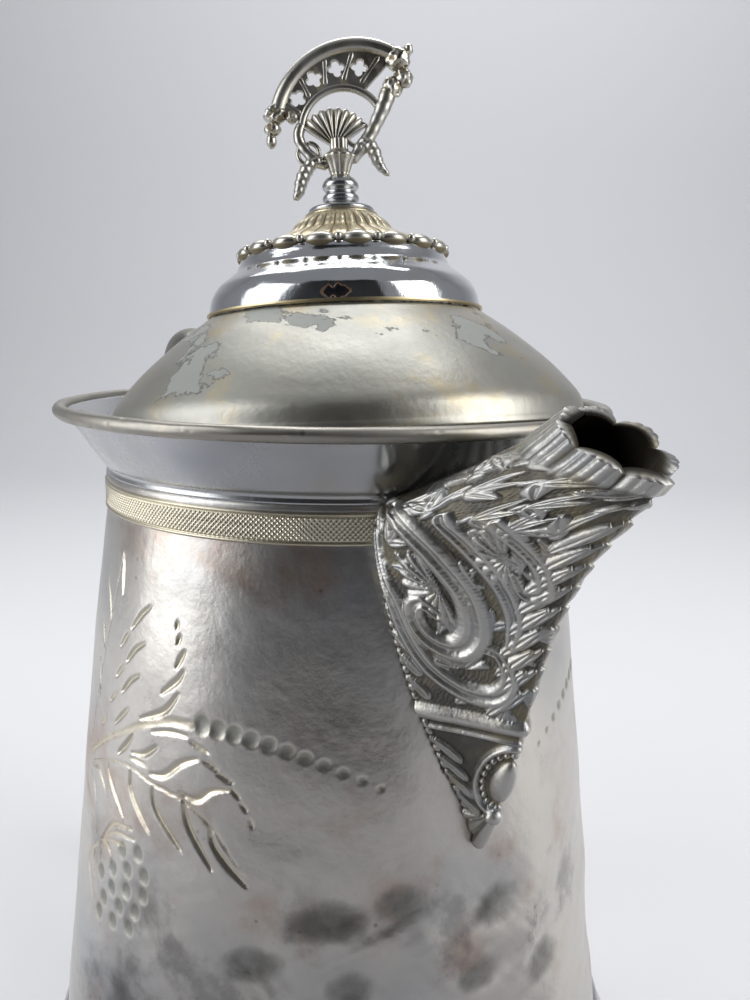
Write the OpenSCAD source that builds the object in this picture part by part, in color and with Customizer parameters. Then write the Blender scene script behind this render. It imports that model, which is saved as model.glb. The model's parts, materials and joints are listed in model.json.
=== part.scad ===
// Lidded coffee pot of plated sheet metal, with a cast spout, a hinged domed lid and an insulated handle.
// Frame: +Z is the pot's axis, z = 0 is the plane it rests on, +X is the spout and -X the handle and hinge.
// Millimetres and degrees throughout. Heights of the lid's own pieces are given above the rim.

/* [Pot body] */
// Height of the centre of the rolled rim above the table
rim_z = 172; // [140:1:220]
// Radius of the neck, outside
neck_r = 55; // [45:0.5:62]
// Radius of the body where it meets the foot, outside
base_r = 70.8; // [62:0.2:90]
// Thickness of the body's sheet
wall = 1.4; // [0.9:0.1:2.4]
// Curvature of the body's side, 1 is a straight cone
belly = 0.9; // [0.6:0.05:1.2]
// Height of the neck below the rim
neck_drop = 14.3; // [10:0.1:20]

/* [Rim and band] */
// How far the bowl-shaped gallery flares out from the neck, to the centre of the roll
rim_flare = 9.5; // [7:0.1:13]
// Radius of the rolled wire at the rim
rim_wire_r = 1.6; // [1:0.1:2.6]
// Height of the knurled band
band_h = 6.6; // [4:0.2:12]
// Gap between the gallery and the knurled band
band_gap = 1.4; // [0.6:0.1:4]
// How far the knurled band stands off the neck
band_t = 0.6; // [0.3:0.1:1.2]

/* [Foot] */
// Height of the foot ring
foot_h = 14; // [9:0.5:24]
// How far the foot spreads beyond the body
foot_spread = 5.6; // [3:0.2:10]
// Width of the foot's resting face
foot_face_w = 6; // [4:0.2:7]
// Thickness of the base plate
base_t = 1.6; // [1:0.1:3]

/* [Lid] */
// Angle at which the worn hinge now holds the shut lid
lid_tilt = 5.5; // [0:0.5:6]
// How far the bent hinge has carried the lid towards the spout
lid_forward = 4; // [0:0.5:4]
// How far the bent hinge has carried the lid sideways
lid_sideways = 1; // [-1:0.5:1]
// How far the lid's edge stands outside the neck's radius
lid_over = 1; // [-3:0.1:1.5]
// Gap between the lid's bezel and the inside of the neck
bezel_gap = 2.6; // [2:0.1:4]
// Height of the lid's edge above the rim, negative is below it
lid_edge_z = -11.5; // [-13:0.1:-9]
// Radius of the crown where it stands on the lid's dome
crown_r = 32; // [26:0.5:38]
// Height of the crown's foot above the rim
crown_z = 14.4; // [12:0.1:18]
// Thickness of the lid's sheet
lid_wall = 1.2; // [0.8:0.1:2]
// Number of bosses in the band round the crown's top
boss_count = 18; // [12:1:24]

/* [Hinge] */
// Gap between the rolled rim and the hinge knuckles
hinge_gap = 0.4; // [0.3:0.1:3]
// Height of the hinge pin above the rim
hinge_up = 3; // [2.6:0.1:5]
// Radius of the hinge knuckles
knuckle_r = 2.5; // [2.2:0.1:3]
// Radius of the hinge pin
pin_r = 1.2; // [0.8:0.1:1.5]
// Width of the lid's knuckle
lid_knuckle_w = 8; // [5:0.5:12]
// Width of each of the pot's two knuckles
pot_knuckle_w = 5; // [3:0.5:7]

/* [Spout] */
// Reach of the spout's lip in front of the neck
spout_reach = 51.6; // [43:0.2:62]
// Half width of the spout's shield at its top corners
shield_half_w = 21; // [17:0.5:24]
// Thickness of the spout's casting
spout_wall = 2; // [1.4:0.1:2.6]
// Radius of the strainer holes behind the spout
strainer_r = 1.6; // [1:0.1:2]

/* [Handle] */
// Reach of the handle's middle line behind the pot's axis
handle_reach = 127; // [110:0.5:150]
// Half width of the handle at its thumb rest
grip_half_w = 7.6; // [6:0.2:9]
// Half thickness of the handle at its thumb rest
grip_half_t = 6.6; // [5:0.2:8]
// Radius of the handle's two tenons
tenon_r = 4; // [3:0.1:4.6]
// Thickness of each insulating ring
insulator_t = 3; // [2:0.5:5]
// Radius of the cross pins that hold the handle
cross_pin_r = 1; // [0.7:0.1:1.4]

/* [Finial] */
// Turn of the finial on its stud, 0 is in line with the spout
finial_turn = 60; // [0:5:180]
// Radius of the finial's outer arc, to the middle of the rod
arc_r = 19; // [16:0.5:20]
// Radius of the rod of the outer arc
arc_rod_r = 1.85; // [1.2:0.05:2.4]
// Radius of the stud that holds the finial
stud_r = 1.6; // [1.2:0.1:2]

/* [Hidden] */
$fn = 96;
eps = 0.01;                          // overshoot of a cut
fit = 0.05;                          // radial clearance of a pin or tenon in its bore
running = 0.3;                       // side clearance between hinge knuckles
far = 400;                           // longer than anything it cuts

// heights of the pot
neck_z = rim_z - neck_drop;                         // where the gallery starts
rim_r = neck_r + rim_flare;
band_top = neck_z - band_gap;
band_bottom = band_top - band_h;
body_steps = 22;
hinge_z = rim_z + hinge_up;
hinge_x = rim_r + rim_wire_r + knuckle_r + hinge_gap;   // distance of the pin behind the axis
lid_r = neck_r + lid_over;
silver = [0.62, 0.61, 0.60];
gilt = [0.74, 0.66, 0.45];
bone = [0.86, 0.80, 0.66];

// outer radius of the body at height z
function body_r(z) = z >= band_bottom ? neck_r :
    neck_r + (base_r - neck_r) * pow((band_bottom - z) / (band_bottom - foot_h), belly);
body_zs = [for (i = [0 : body_steps]) foot_h + (band_bottom - foot_h) * i / body_steps];

// closed outline between the outer surface, grown by g, and the same surface grown by g - t
module body_wall_2d(t, top = neck_z) {
    outer = [for (z = body_zs) [body_r(z), z]];
    inner = [for (i = [body_steps : -1 : 0]) [body_r(body_zs[i]) - t, body_zs[i]]];
    polygon(concat(outer, [[neck_r, top], [neck_r - t, top]], inner));
}
// the bowl of the gallery, outside: [share of its flare, share of its height]
bowl = [[0, 0], [-0.02, 0.1], [0.14, 0.2], [0.35, 0.43], [0.58, 0.67], [0.8, 0.87], [1, 1]];
function bowl_point(i, inset) = [neck_r + bowl[i].x * rim_flare - inset, neck_z + bowl[i].y * neck_drop];
// the pot as one filled solid, used to trim what is soldered to it
module pot_filled() {
    rotate_extrude() {
        polygon(concat([[0, foot_h]], [for (z = body_zs) [body_r(z), z]],
            [for (i = [0 : len(bowl) - 1]) bowl_point(i, 0)], [[0, rim_z]]));
        translate([0, band_bottom]) square([neck_r + band_t, band_h]);
        translate([rim_r, rim_z]) circle(rim_wire_r);
    }
}

/* Pot */

// rows of small holes behind the spout, the lowest row first
strainer_rows = 6;
strainer_pitch = 6.4;
strainer_z0 = band_bottom - 44;
module strainer_holes() {
    for (row = [0 : strainer_rows - 1], k = [-(1 + floor(row / 3)) : 1 + floor(row / 3)])
        translate([0, 0, strainer_z0 + row * strainer_pitch])
            rotate([0, 90, (k + (row % 2) / 2) * 5.4 - (row % 2) * 2.7])
                cylinder(r = strainer_r, h = far);
}
module body_shell() {
    color(silver) difference() {
        rotate_extrude() body_wall_2d(wall);
        strainer_holes();
    }
}
plate_z = foot_h - 4;                               // top of the base plate
plate_r = base_r - wall;
module base_plate() {
    color(silver) translate([0, 0, plate_z - base_t]) cylinder(r = plate_r, h = base_t);
}
module foot_ring() {
    r_out = base_r + foot_spread;
    r_in = r_out - foot_face_w;
    color(silver) rotate_extrude() polygon([
        [r_out, 0], [r_out + 0.5, 1.2], [r_out, 2.6], [r_out - 1.4, foot_h * 0.38],
        [base_r + 2.2, foot_h * 0.6], [base_r + 1.2, foot_h * 0.74], [base_r + 2, foot_h * 0.84],
        [base_r + 1.8, foot_h * 0.95], [base_r + 0.8, foot_h],
        [plate_r, foot_h], [plate_r, plate_z - base_t], [plate_r - 2.4, plate_z - base_t],
        [plate_r - 2.4, plate_z - base_t - 1.4], [r_in, 1.6], [r_in, 0]]);
}
module knurled_band() {
    color(gilt) rotate_extrude() {
        translate([neck_r, band_bottom + 0.4]) square([band_t * 0.75, band_h - 0.8]);
        for (z = [band_bottom, band_top - 0.6]) translate([neck_r, z]) square([band_t, 0.6]);
    }
}
module gallery() {
    last = len(bowl) - 1;
    color(silver) rotate_extrude() difference() {
        polygon(concat([for (i = [0 : last]) bowl_point(i, 0)],
            [for (i = [last : -1 : 0]) bowl_point(i, i == last ? 1.6 : wall)]));
        translate([rim_r, rim_z]) circle(rim_wire_r);
    }
}
module rim_wire() {
    color(gilt) rotate_extrude() translate([rim_r, rim_z]) circle(rim_wire_r);
}

/* Spout: slanted sections fan up from the shield's point to the mouth */

// each row: back [out from the neck, up from the rim], nose [share of the reach, up from the rim],
// share of the shield's half width, roundness (0 is a keel, 1 is an oval)
spout_plan = [
    [-5, -86.5, -0.011, -86.5, 0.071, 0], [-5, -83, 0.065, -83, 0.19, 0], [-5, -76, 0.16, -75, 0.381, 0],
    [-5, -66, 0.261, -64.5, 0.548, 0], [-5, -55, 0.364, -52, 0.667, 0], [-5, -44, 0.442, -42, 0.762, 0],
    [-5, -33, 0.532, -32.5, 0.867, 0], [-5, -24, 0.637, -24, 0.952, 0.05], [-4, -15.6, 0.736, -17, 1, 0.15],
    [2, -11, 0.822, -12, 0.876, 0.4], [11, -5.6, 0.899, -8, 0.667, 0.7], [22, 1, 0.963, -5.4, 0.505, 0.9],
    [29.6, 6.4, 1, -3.6, 0.448, 1]];
// the same rows in place: back [x, z], nose [x, z], half width, roundness; z is still up from the rim
spout_rows = [for (q = spout_plan) [neck_r + q[0], q[1], body_r(rim_z + q[3]) + q[2] * spout_reach, q[3],
    q[4] * shield_half_w, q[5]]];
// half outlines from the back to the nose: [share of the depth, share of the half width]
keel = [[0, 1], [0.12, 1], [0.24, 1], [0.42, 0.82], [0.58, 0.6], [0.74, 0.4], [0.88, 0.24], [0.97, 0.1]];
oval = [[0, 0.24], [0.04, 0.5], [0.14, 0.8], [0.3, 0.98], [0.5, 1], [0.7, 0.82], [0.87, 0.52], [0.97, 0.2]];
half_n = len(keel);
// one closed ring of points of row q, drawn in by the casting's thickness t
function spout_ring(q, t) = let(
        back = [q[0], q[1]], nose = [q[2], q[3]], depth = norm(nose - back), dir = (nose - back) / depth,
        half = [for (i = [0 : half_n - 1]) let(s = keel[i] * (1 - q[5]) + oval[i] * q[5]) [
            t * q[5] + s[0] * (depth - t * (1.35 + q[5])), max(0.3, s[1] * q[4] - t)]])
    concat(
        [for (i = [0 : half_n - 1]) [back.x + dir.x * half[i].x, -half[i].y, rim_z + back.y + dir.y * half[i].x]],
        [for (i = [half_n - 1 : -1 : 0]) [back.x + dir.x * half[i].x, half[i].y, rim_z + back.y + dir.y * half[i].x]]);
// a closed solid through a list of rings that all have n points
module loft(rings) {
    n = len(rings[0]);
    last = len(rings) - 1;
    polyhedron(
        points = [for (ring = rings) for (p = ring) p],
        faces = concat(
            [[for (i = [0 : n - 1]) i]],
            [[for (i = [n - 1 : -1 : 0]) last * n + i]],
            [for (k = [0 : last - 1], i = [0 : n - 1]) let(a = k * n + i, b = k * n + (i + 1) % n)
                each [[a, a + n, b], [b, a + n, b + n]]]));
}
mouth_push = [1.5, 3];                              // how far the channel is cut on beyond the mouth
module spout() {
    top = spout_rows[len(spout_rows) - 1];
    beyond = [top[0] + mouth_push.x, top[1] + mouth_push.y, top[2] + mouth_push.x, top[3] + mouth_push.y,
        top[4], top[5]];
    color(silver) difference() {
        loft([for (q = spout_rows) spout_ring(q, 0)]);
        loft([for (k = [3 : len(spout_rows)]) spout_ring(k < len(spout_rows) ? spout_rows[k] : beyond,
            k < len(spout_rows) ? spout_wall : spout_wall * 0.8)]);
        pot_filled();
    }
}

/* Handle */

// sockets: a point on each axis just inside the body's surface, and the axis's rise from level
upper_z = band_bottom - 13.7;
lower_z = foot_h + (band_bottom - foot_h) * 0.25;
upper_at = [-(body_r(upper_z) - 2.5), upper_z];
upper_rise = 38;
lower_at = [-(body_r(lower_z) - 0.7), lower_z];
lower_rise = 32;
sockets = [[upper_at, upper_rise], [lower_at, lower_rise]];
socket_h = 10;                                      // from the axis point to the socket's face
socket_r = 7.6;                                     // radius of the socket's face
tenon_in = 4.6;                                     // depth of a tenon in its socket
tenon_gap = 0.4;                                    // room left under a tenon
pin_back = 2.3;                                     // cross pin below the socket's face
module at_socket(at, rise) { translate([at.x, 0, at.y]) rotate([0, rise - 90, 0]) children(); }
function along(at, rise, d) = [at.x - d * cos(rise), at.y + d * sin(rise)];
module socket(at, rise) {
    color(silver) difference() {
        at_socket(at, rise) difference() {
            rotate_extrude() polygon([[0, -9], [11, -9], [11, 1.6], [9.4, 3], [8.2, 4.2], [7.4, 6.4],
                [socket_r, 8], [8.2, 8.6], [8.2, 9.4], [socket_r, socket_h], [0, socket_h]]);
            translate([0, 0, socket_h - tenon_in]) cylinder(r = tenon_r + fit, h = tenon_in + eps);
            cross_pin_bore();
        }
        pot_filled();
    }
}
module cross_pin_bore() {
    translate([0, 0, socket_h - pin_back]) rotate([90, 0, 0])
        cylinder(r = cross_pin_r + fit, h = far, center = true);
}
module upper_socket() { socket(upper_at, upper_rise); }
module lower_socket() { socket(lower_at, lower_rise); }
module insulator(at, rise) {
    color(bone) at_socket(at, rise) translate([0, 0, socket_h]) difference() {
        cylinder(r = socket_r - 0.4, h = insulator_t);
        translate([0, 0, -eps]) cylinder(r = tenon_r + fit, h = insulator_t + 2 * eps);
    }
}
module upper_insulator() { insulator(upper_at, upper_rise); }
module lower_insulator() { insulator(lower_at, lower_rise); }
module cross_pin(at, rise) {
    color(silver) at_socket(at, rise) translate([0, 0, socket_h - pin_back]) rotate([90, 0, 0])
        cylinder(r = cross_pin_r, h = 2 * socket_r - 0.6, center = true);
}
module upper_cross_pin() { cross_pin(upper_at, upper_rise); }
module lower_cross_pin() { cross_pin(lower_at, lower_rise); }

// middle line of the grip, a smooth curve through [x, z] points between the two tenons
grip_start = along(upper_at, upper_rise, socket_h + insulator_t - 0.6);
grip_end = along(lower_at, lower_rise, socket_h + insulator_t - 0.6);
// over the top: [share of the way out from the upper tenon, height above the rim]
grip_top = [[0.4, 2], [0.61, 10.4], [0.8, 11], [0.95, 2], [1, -14]];
// down the back: [share of the way out from the lower tenon, share of the way up to the rim]
grip_back = [[0.98, 0.69], [0.85, 0.49], [0.64, 0.3], [0.4, 0.155]];
function out_from(p, share) = p.x - share * (handle_reach + p.x);
grip_line = concat(
    [along(upper_at, upper_rise, 4), grip_start, grip_start + 9 * [-cos(upper_rise), sin(upper_rise)]],
    [for (q = grip_top) [out_from(grip_start, q.x), rim_z + q.y]],
    [for (q = grip_back) [out_from(grip_end, q.x), grip_end.y + q.y * (rim_z - grip_end.y)]],
    [grip_end + 5 * [-cos(lower_rise), sin(lower_rise)], grip_end, along(lower_at, lower_rise, 4)]);
grip_half_ws = [6.2, 6.2, 6.2, 6.8, grip_half_w, grip_half_w, 7, 6.4, 6, 5.8, 5.8, 5.9, 6.1, 6.2, 6.2];
grip_half_ts = [6.2, 6.2, 5.8, 5.8, grip_half_t, grip_half_t, 6, 5.6, 5.4, 5.4, 5.4, 5.6, 5.9, 6.2, 6.2];
// Catmull-Rom interpolation of list v at span i, share u
function smooth(v, i, u) = 0.5 * (2 * v[i] + (v[i + 1] - v[i - 1]) * u
    + (2 * v[i - 1] - 5 * v[i] + 4 * v[i + 1] - v[i + 2]) * u * u
    + (3 * v[i] - v[i - 1] - 3 * v[i + 1] + v[i + 2]) * u * u * u);
grip_sides = 16;
span_steps = 3;
function grip_ring(i, u) = let(
        c = smooth(grip_line, i, u), w = smooth(grip_half_ws, i, u), t = smooth(grip_half_ts, i, u),
        d = smooth(grip_line, i, min(1, u + 0.02)) - smooth(grip_line, i, max(0, u - 0.02)),
        dir = d / norm(d))
    [for (k = [0 : grip_sides - 1]) let(a = -360 * k / grip_sides, n = t * cos(a))
        [c.x - dir.y * n, w * sin(a), c.y + dir.x * n]];
module handle_grip() {
    last = len(grip_line) - 3;
    rings = [for (i = [1 : last], j = [0 : span_steps - (i < last ? 1 : 0)]) grip_ring(i, j / span_steps)];
    color(silver) difference() {
        union() {
            difference() {
                loft(rings);
                for (s = sockets) at_socket(s[0], s[1]) cylinder(r = 2 * socket_r, h = socket_h + insulator_t);
            }
            for (s = sockets) at_socket(s[0], s[1]) translate([0, 0, socket_h - tenon_in + tenon_gap])
                cylinder(r = tenon_r, h = tenon_in - tenon_gap + insulator_t + 2);
        }
        for (s = sockets) at_socket(s[0], s[1]) cross_pin_bore();
    }
}

/* Hinge */

module knuckle(y0, w) {
    translate([-hinge_x, y0, hinge_z]) rotate([-90, 0, 0]) cylinder(r = knuckle_r, h = w);
}
module pin_hole() {
    translate([-hinge_x, 0, hinge_z]) rotate([90, 0, 0]) cylinder(r = pin_r + fit, h = far, center = true);
}
half_lid_knuckle = lid_knuckle_w / 2;
bracket_drop = 12;                                  // how far the bracket reaches below the rim
module hinge_bracket() {
    y0 = half_lid_knuckle + running;
    full = y0 + pot_knuckle_w;
    color(silver) difference() {
        union() {
            knuckle(y0, pot_knuckle_w);
            knuckle(-full, pot_knuckle_w);
            for (y = [-full, y0]) translate([-hinge_x - knuckle_r, y, rim_z - 1])
                cube([knuckle_r + hinge_x - rim_r, pot_knuckle_w, 1 + hinge_up]);
            translate([-hinge_x - knuckle_r, -full, rim_z - bracket_drop])
                cube([knuckle_r + hinge_x - rim_r + 6, 2 * full, bracket_drop - knuckle_r + hinge_up - 0.6]);
        }
        pot_filled();
        pin_hole();
    }
}
module hinge_pin() {
    full = 2 * (half_lid_knuckle + running + pot_knuckle_w);
    color(gilt) translate([-hinge_x, 0, hinge_z]) rotate([90, 0, 0]) cylinder(r = pin_r, h = full, center = true);
}

/* Lid: drawn level and centred above the pot, then moved to where the worn hinge holds it */

module swung() {
    translate([-hinge_x, 0, hinge_z]) rotate([0, -lid_tilt, 0]) translate([hinge_x, 0, -hinge_z]) children();
}
module on_lid() { swung() translate([lid_forward, lid_sideways, rim_z]) children(); }
// outer surface of the dome, from its edge up to the crown, with its slope given as shares of the way
dome_low = [lid_r - 1.2, lid_edge_z + 5.2];
dome_high = [crown_r + 0.6, crown_z - 0.6];
slope = [[0, 0], [0.11, 0.165], [0.3, 0.39], [0.515, 0.6], [0.73, 0.79], [0.91, 0.93], [1, 1]];
dome = concat([[lid_r, lid_edge_z], [lid_r + 0.3, lid_edge_z + 0.8], [lid_r - 0.3, lid_edge_z + 1.6]],
    [for (q = slope) [for (k = [0, 1]) dome_low[k] + q[k] * (dome_high[k] - dome_low[k])]],
    [[crown_r - 3, crown_z]]);
module dome_filled() {
    rotate_extrude() polygon(concat([[0, lid_edge_z]], dome, [[0, crown_z]]));
}
module lid_dome() {
    last = len(dome) - 1;
    color(silver) on_lid() rotate_extrude()
        polygon(concat(dome, [[crown_r - 3, crown_z - lid_wall]],
            [for (i = [last - 1 : -1 : 3]) dome[i] - [lid_wall * 0.8, lid_wall]],
            [[lid_r - lid_wall - 1.1, lid_edge_z]]));
}
bezel_r = neck_r - wall - bezel_gap;
bezel_h = 5;
module lid_bezel() {
    foot = lid_edge_z - bezel_h;
    color(gilt) on_lid() rotate_extrude() polygon([[bezel_r, foot], [bezel_r, lid_edge_z + 0.6],
        [lid_r - lid_wall - 1.5, lid_edge_z + 0.6], [lid_r - lid_wall - 1.5, lid_edge_z + 1.5],
        [bezel_r - 1, lid_edge_z + 1.5], [bezel_r - 1, foot]]);
}
// outer surface of the crown above its foot: [share of its radius, height]
crown = [[1, 0], [1, 2], [0.975, 4.6], [0.93, 6.8], [0.86, 8.6], [0.79, 10.6], [0.77, 11.8], [0.755, 13],
    [0.69, 14.2]];
crown_top = crown_z + 14.2;
module lid_crown() {
    last = len(crown) - 1;
    pts = [for (c = crown) [c[0] * crown_r, crown_z + c[1]]];
    color(silver) on_lid() rotate_extrude()
        polygon(concat(pts, [[stud_r + fit, crown_top + 2.4], [stud_r + fit, crown_top + 2.4 - lid_wall]],
            [[pts[last].x, crown_top - lid_wall]],
            [for (i = [last - 1 : -1 : 1]) pts[i] - [lid_wall, lid_wall * 0.5]],
            [[crown_r - lid_wall, crown_z]]));
}
module crown_wire() {
    color(gilt) on_lid() rotate_extrude() translate([crown_r, crown_z - 0.1]) difference() {
        square([0.7, 0.7]);
        translate([0.6, -1]) rotate(35) square(1);
    }
}
boss_ring_r = crown_r * 0.70;
module boss_band() {
    color(silver) on_lid() difference() {
        union() {
            rotate_extrude() translate([boss_ring_r - 2, crown_top - 0.6]) square([3.2, 1.6]);
            for (i = [0 : boss_count - 1]) rotate(360 * i / boss_count)
                translate([boss_ring_r - 0.6, 0, crown_top - 0.4]) sphere(r = 2.1, $fn = 32);
        }
        crown_filled();
    }
}
module crown_filled() {
    rotate_extrude() polygon(concat([[0, crown_z]], [for (c = crown) [c[0] * crown_r, crown_z + c[1]]],
        [[stud_r, crown_top + 2.4], [0, crown_top + 2.4]]));
}
bell_top = crown_top + 9.4;                         // heights above the rim of the finial's mounts
disc_top = bell_top + 2.2;
cup_top = disc_top + 6.2;
module finial_bell() {
    r0 = boss_ring_r - 3.2;
    color(gilt) on_lid() difference() {
        rotate_extrude() polygon([[0, crown_z], [r0, crown_z], [r0, crown_top + 1.2], [r0 - 1.6, crown_top + 2.8],
            [13, crown_top + 5], [11, crown_top + 7.2], [8.4, bell_top], [0, bell_top]]);
        crown_filled();
        translate([0, 0, crown_z - 1]) cylinder(r = stud_r + fit, h = 40);
    }
}
module finial_disc() {
    color(silver) on_lid() rotate_extrude() polygon([[stud_r + fit, bell_top], [6.8, bell_top],
        [7.7, bell_top + 0.5], [7.8, bell_top + 1.1], [7.2, bell_top + 1.6], [5.4, disc_top - 0.2],
        [4.6, disc_top], [stud_r + fit, disc_top]]);
}
module finial_cup() {
    mid = (disc_top + cup_top) / 2;
    color(silver) on_lid() rotate_extrude() difference() {
        union() {
            translate([stud_r + fit, disc_top]) square([2, cup_top - disc_top]);
            for (z = [mid - 1.45, mid + 1.45]) translate([2.7, z]) circle(1.6);
        }
        translate([0, disc_top - 3]) square([20, 3]);
        translate([0, cup_top]) square([20, 3]);
        translate([-20, 0]) square([20 + stud_r + fit, 100]);
    }
}

/* Finial: an openwork crescent, drawn in the XZ plane about the stud, with heights above its cup, and turned */

arc_at = [4.3, 11];                                 // centre of the outer arc
inner_at = [1.2, 10.8];                             // centre of the inner arc
inner_r = 9.8;
arc_from = 58;
arc_to = 170;
// sector of a ring of round rod in the XZ plane
module rod_arc(at, r, rod, a0, a1) {
    translate([at.x, 0, at.y]) rotate([90, 0, 0]) rotate([0, 0, a0])
        rotate_extrude(angle = a1 - a0) translate([r, 0]) circle(rod);
}
module blob(p, r) { translate([p.x, 0, p.y]) sphere(r); }
module tapered(a, ra, b, rb) { hull() { blob(a, ra); blob(b, rb); } }
module web_2d() {
    a = [for (t = [arc_from : 8 : arc_to]) arc_at + arc_r * [cos(t), sin(t)]];
    b = [for (t = [168 : -9 : 24]) inner_at + (inner_r - 0.3) * [cos(t), sin(t)]];
    difference() {
        polygon(concat(a, b));
        for (t = [74, 98, 122, 147]) translate(arc_at + (arc_r - 5.2) * [cos(t), sin(t)]) circle(1.7);
    }
}
module finial() {
    $fn = 18;
    stem_h = 8.6;
    color(gilt) on_lid() translate([0, 0, cup_top]) rotate(finial_turn) difference() {
        union() {
            rod_arc(arc_at, arc_r, arc_rod_r, arc_from, arc_to);
            rod_arc(inner_at, inner_r, 1, 18, 170);
            rotate([90, 0, 0]) linear_extrude(1.6, center = true) web_2d();
            rotate([90, 0, 0]) linear_extrude(3, center = true)
                polygon([[-2.4, 4.6], [-6.4, 14], [-3, 19.2], [2, 20.6], [6.4, 18.2], [8.6, 14.6], [2.2, 4.6]]);
            cylinder(r1 = 3.1, r2 = 2.4, h = stem_h);
            tapered([-7.5, 13.6], 1.2, [-5, 4.1], 1.5);
            tapered([-5, 4.1], 1.6, [-11, -3.1], 1.3);
            tapered([11.6, 19.6], 2.2, [6, 7.1], 1.6);
            tapered([6, 7.1], 1.7, [11, 1.4], 1.3);
            tapered([13.4, 26.6], 2.6, [15.4, 19.6], 2.3);
            tapered([-14.4, 15.2], 2.6, [-15.8, 9.2], 1.8);
            rod_arc([-7.2, 5.8], 2.6, 0.55, 0, 360);
            rod_arc([3.9, 9.8], 3, 0.6, 0, 360);
            translate([-3, -1, 1.6]) cube([6, 2, 4]);
        }
        translate([0, 0, -1]) cylinder(r = stud_r + 2 * fit, h = 5);
    }
}
stud_top = cup_top + 3.8;
nut_t = 2.6;
washer_t = 0.8;
washer_top = crown_top + 2.4 - lid_wall - 0.9;
module finial_stud() {
    foot = washer_top - washer_t - nut_t - 1;
    color(gilt) on_lid() translate([0, 0, foot]) cylinder(r = stud_r, h = stud_top - foot);
}
module finial_washer() {
    color(silver) on_lid() translate([0, 0, washer_top - washer_t]) difference() {
        cylinder(r = 5, h = washer_t);
        translate([0, 0, -1]) cylinder(r = stud_r + fit, h = 5);
    }
}
module finial_nut() {
    color(gilt) on_lid() translate([0, 0, washer_top - washer_t - nut_t]) difference() {
        cylinder(r = 3.6, h = nut_t, $fn = 6);
        translate([0, 0, -1]) cylinder(r = stud_r + fit, h = nut_t + 2);
    }
}
strap_w = 14;
module lid_leaf() {
    color(silver) swung() difference() {
        union() {
            knuckle(-half_lid_knuckle, lid_knuckle_w);
            translate([-hinge_x, -half_lid_knuckle, hinge_z - 0.4]) cube([8, lid_knuckle_w, 1.8]);
            translate([-hinge_x + 4, -strap_w / 2, hinge_z - 0.4]) cube([26, strap_w, 1.8]);
        }
        translate([lid_forward, lid_sideways, rim_z]) dome_filled();
        pin_hole();
    }
}

body_shell();
base_plate();
foot_ring();
knurled_band();
gallery();
rim_wire();
spout();
handle_grip();
upper_socket();
lower_socket();
upper_insulator();
lower_insulator();
upper_cross_pin();
lower_cross_pin();
hinge_bracket();
hinge_pin();
lid_dome();
lid_bezel();
lid_crown();
crown_wire();
boss_band();
finial_bell();
finial_disc();
finial_cup();
finial();
finial_stud();
finial_washer();
finial_nut();
lid_leaf();
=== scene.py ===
# %% [markdown]
# # A worn silver-plated coffee pot
# The pot is spun sheet metal with cast pieces soldered on: a body, a bowl-shaped gallery, a relief spout,
# a domed lid and an openwork finial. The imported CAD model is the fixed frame. It gives the sizes, the hinge
# and the bodies, and every piece made here rides on one of them. All lengths in this file are millimetres
# in the pot's frame, and one helper turns them into Blender's metres.

# %% Load the frame
import json
import math

import bpy
import numpy as np
from mathutils import Matrix, Vector

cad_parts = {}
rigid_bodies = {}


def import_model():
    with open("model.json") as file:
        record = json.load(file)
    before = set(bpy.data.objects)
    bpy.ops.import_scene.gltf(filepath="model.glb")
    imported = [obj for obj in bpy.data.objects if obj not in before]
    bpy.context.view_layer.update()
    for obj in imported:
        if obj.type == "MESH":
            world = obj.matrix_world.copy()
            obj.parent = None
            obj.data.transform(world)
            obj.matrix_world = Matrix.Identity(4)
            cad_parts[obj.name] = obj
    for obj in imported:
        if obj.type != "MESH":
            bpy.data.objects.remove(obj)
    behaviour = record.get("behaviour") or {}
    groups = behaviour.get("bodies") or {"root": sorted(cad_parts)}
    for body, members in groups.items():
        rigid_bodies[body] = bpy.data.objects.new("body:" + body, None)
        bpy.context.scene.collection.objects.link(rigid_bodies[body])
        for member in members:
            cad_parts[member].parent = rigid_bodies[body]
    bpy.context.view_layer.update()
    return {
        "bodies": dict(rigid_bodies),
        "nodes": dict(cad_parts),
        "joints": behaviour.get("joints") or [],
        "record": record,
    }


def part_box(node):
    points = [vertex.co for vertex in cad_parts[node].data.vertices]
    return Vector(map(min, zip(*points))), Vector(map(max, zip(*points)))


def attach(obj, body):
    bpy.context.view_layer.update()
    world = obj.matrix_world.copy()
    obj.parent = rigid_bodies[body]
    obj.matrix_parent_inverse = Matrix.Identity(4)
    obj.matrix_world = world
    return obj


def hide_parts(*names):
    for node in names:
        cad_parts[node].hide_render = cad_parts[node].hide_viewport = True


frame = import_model()
MM = 0.001

# %% [markdown]
# ## Sizes taken from the frame
# The rim's height, the foot and the hinge are read from the CAD nodes, so a change of size in the CAD
# moves every looks-only detail with it. The shut lid is held slightly open by its bent hinge: the lid's
# pieces are drawn level, about the lid's own axis, and one matrix then carries them all to their place.

# %% Shared sizes
def span(node, axis):
    low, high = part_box(node)
    return low[axis] / MM, high[axis] / MM


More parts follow.
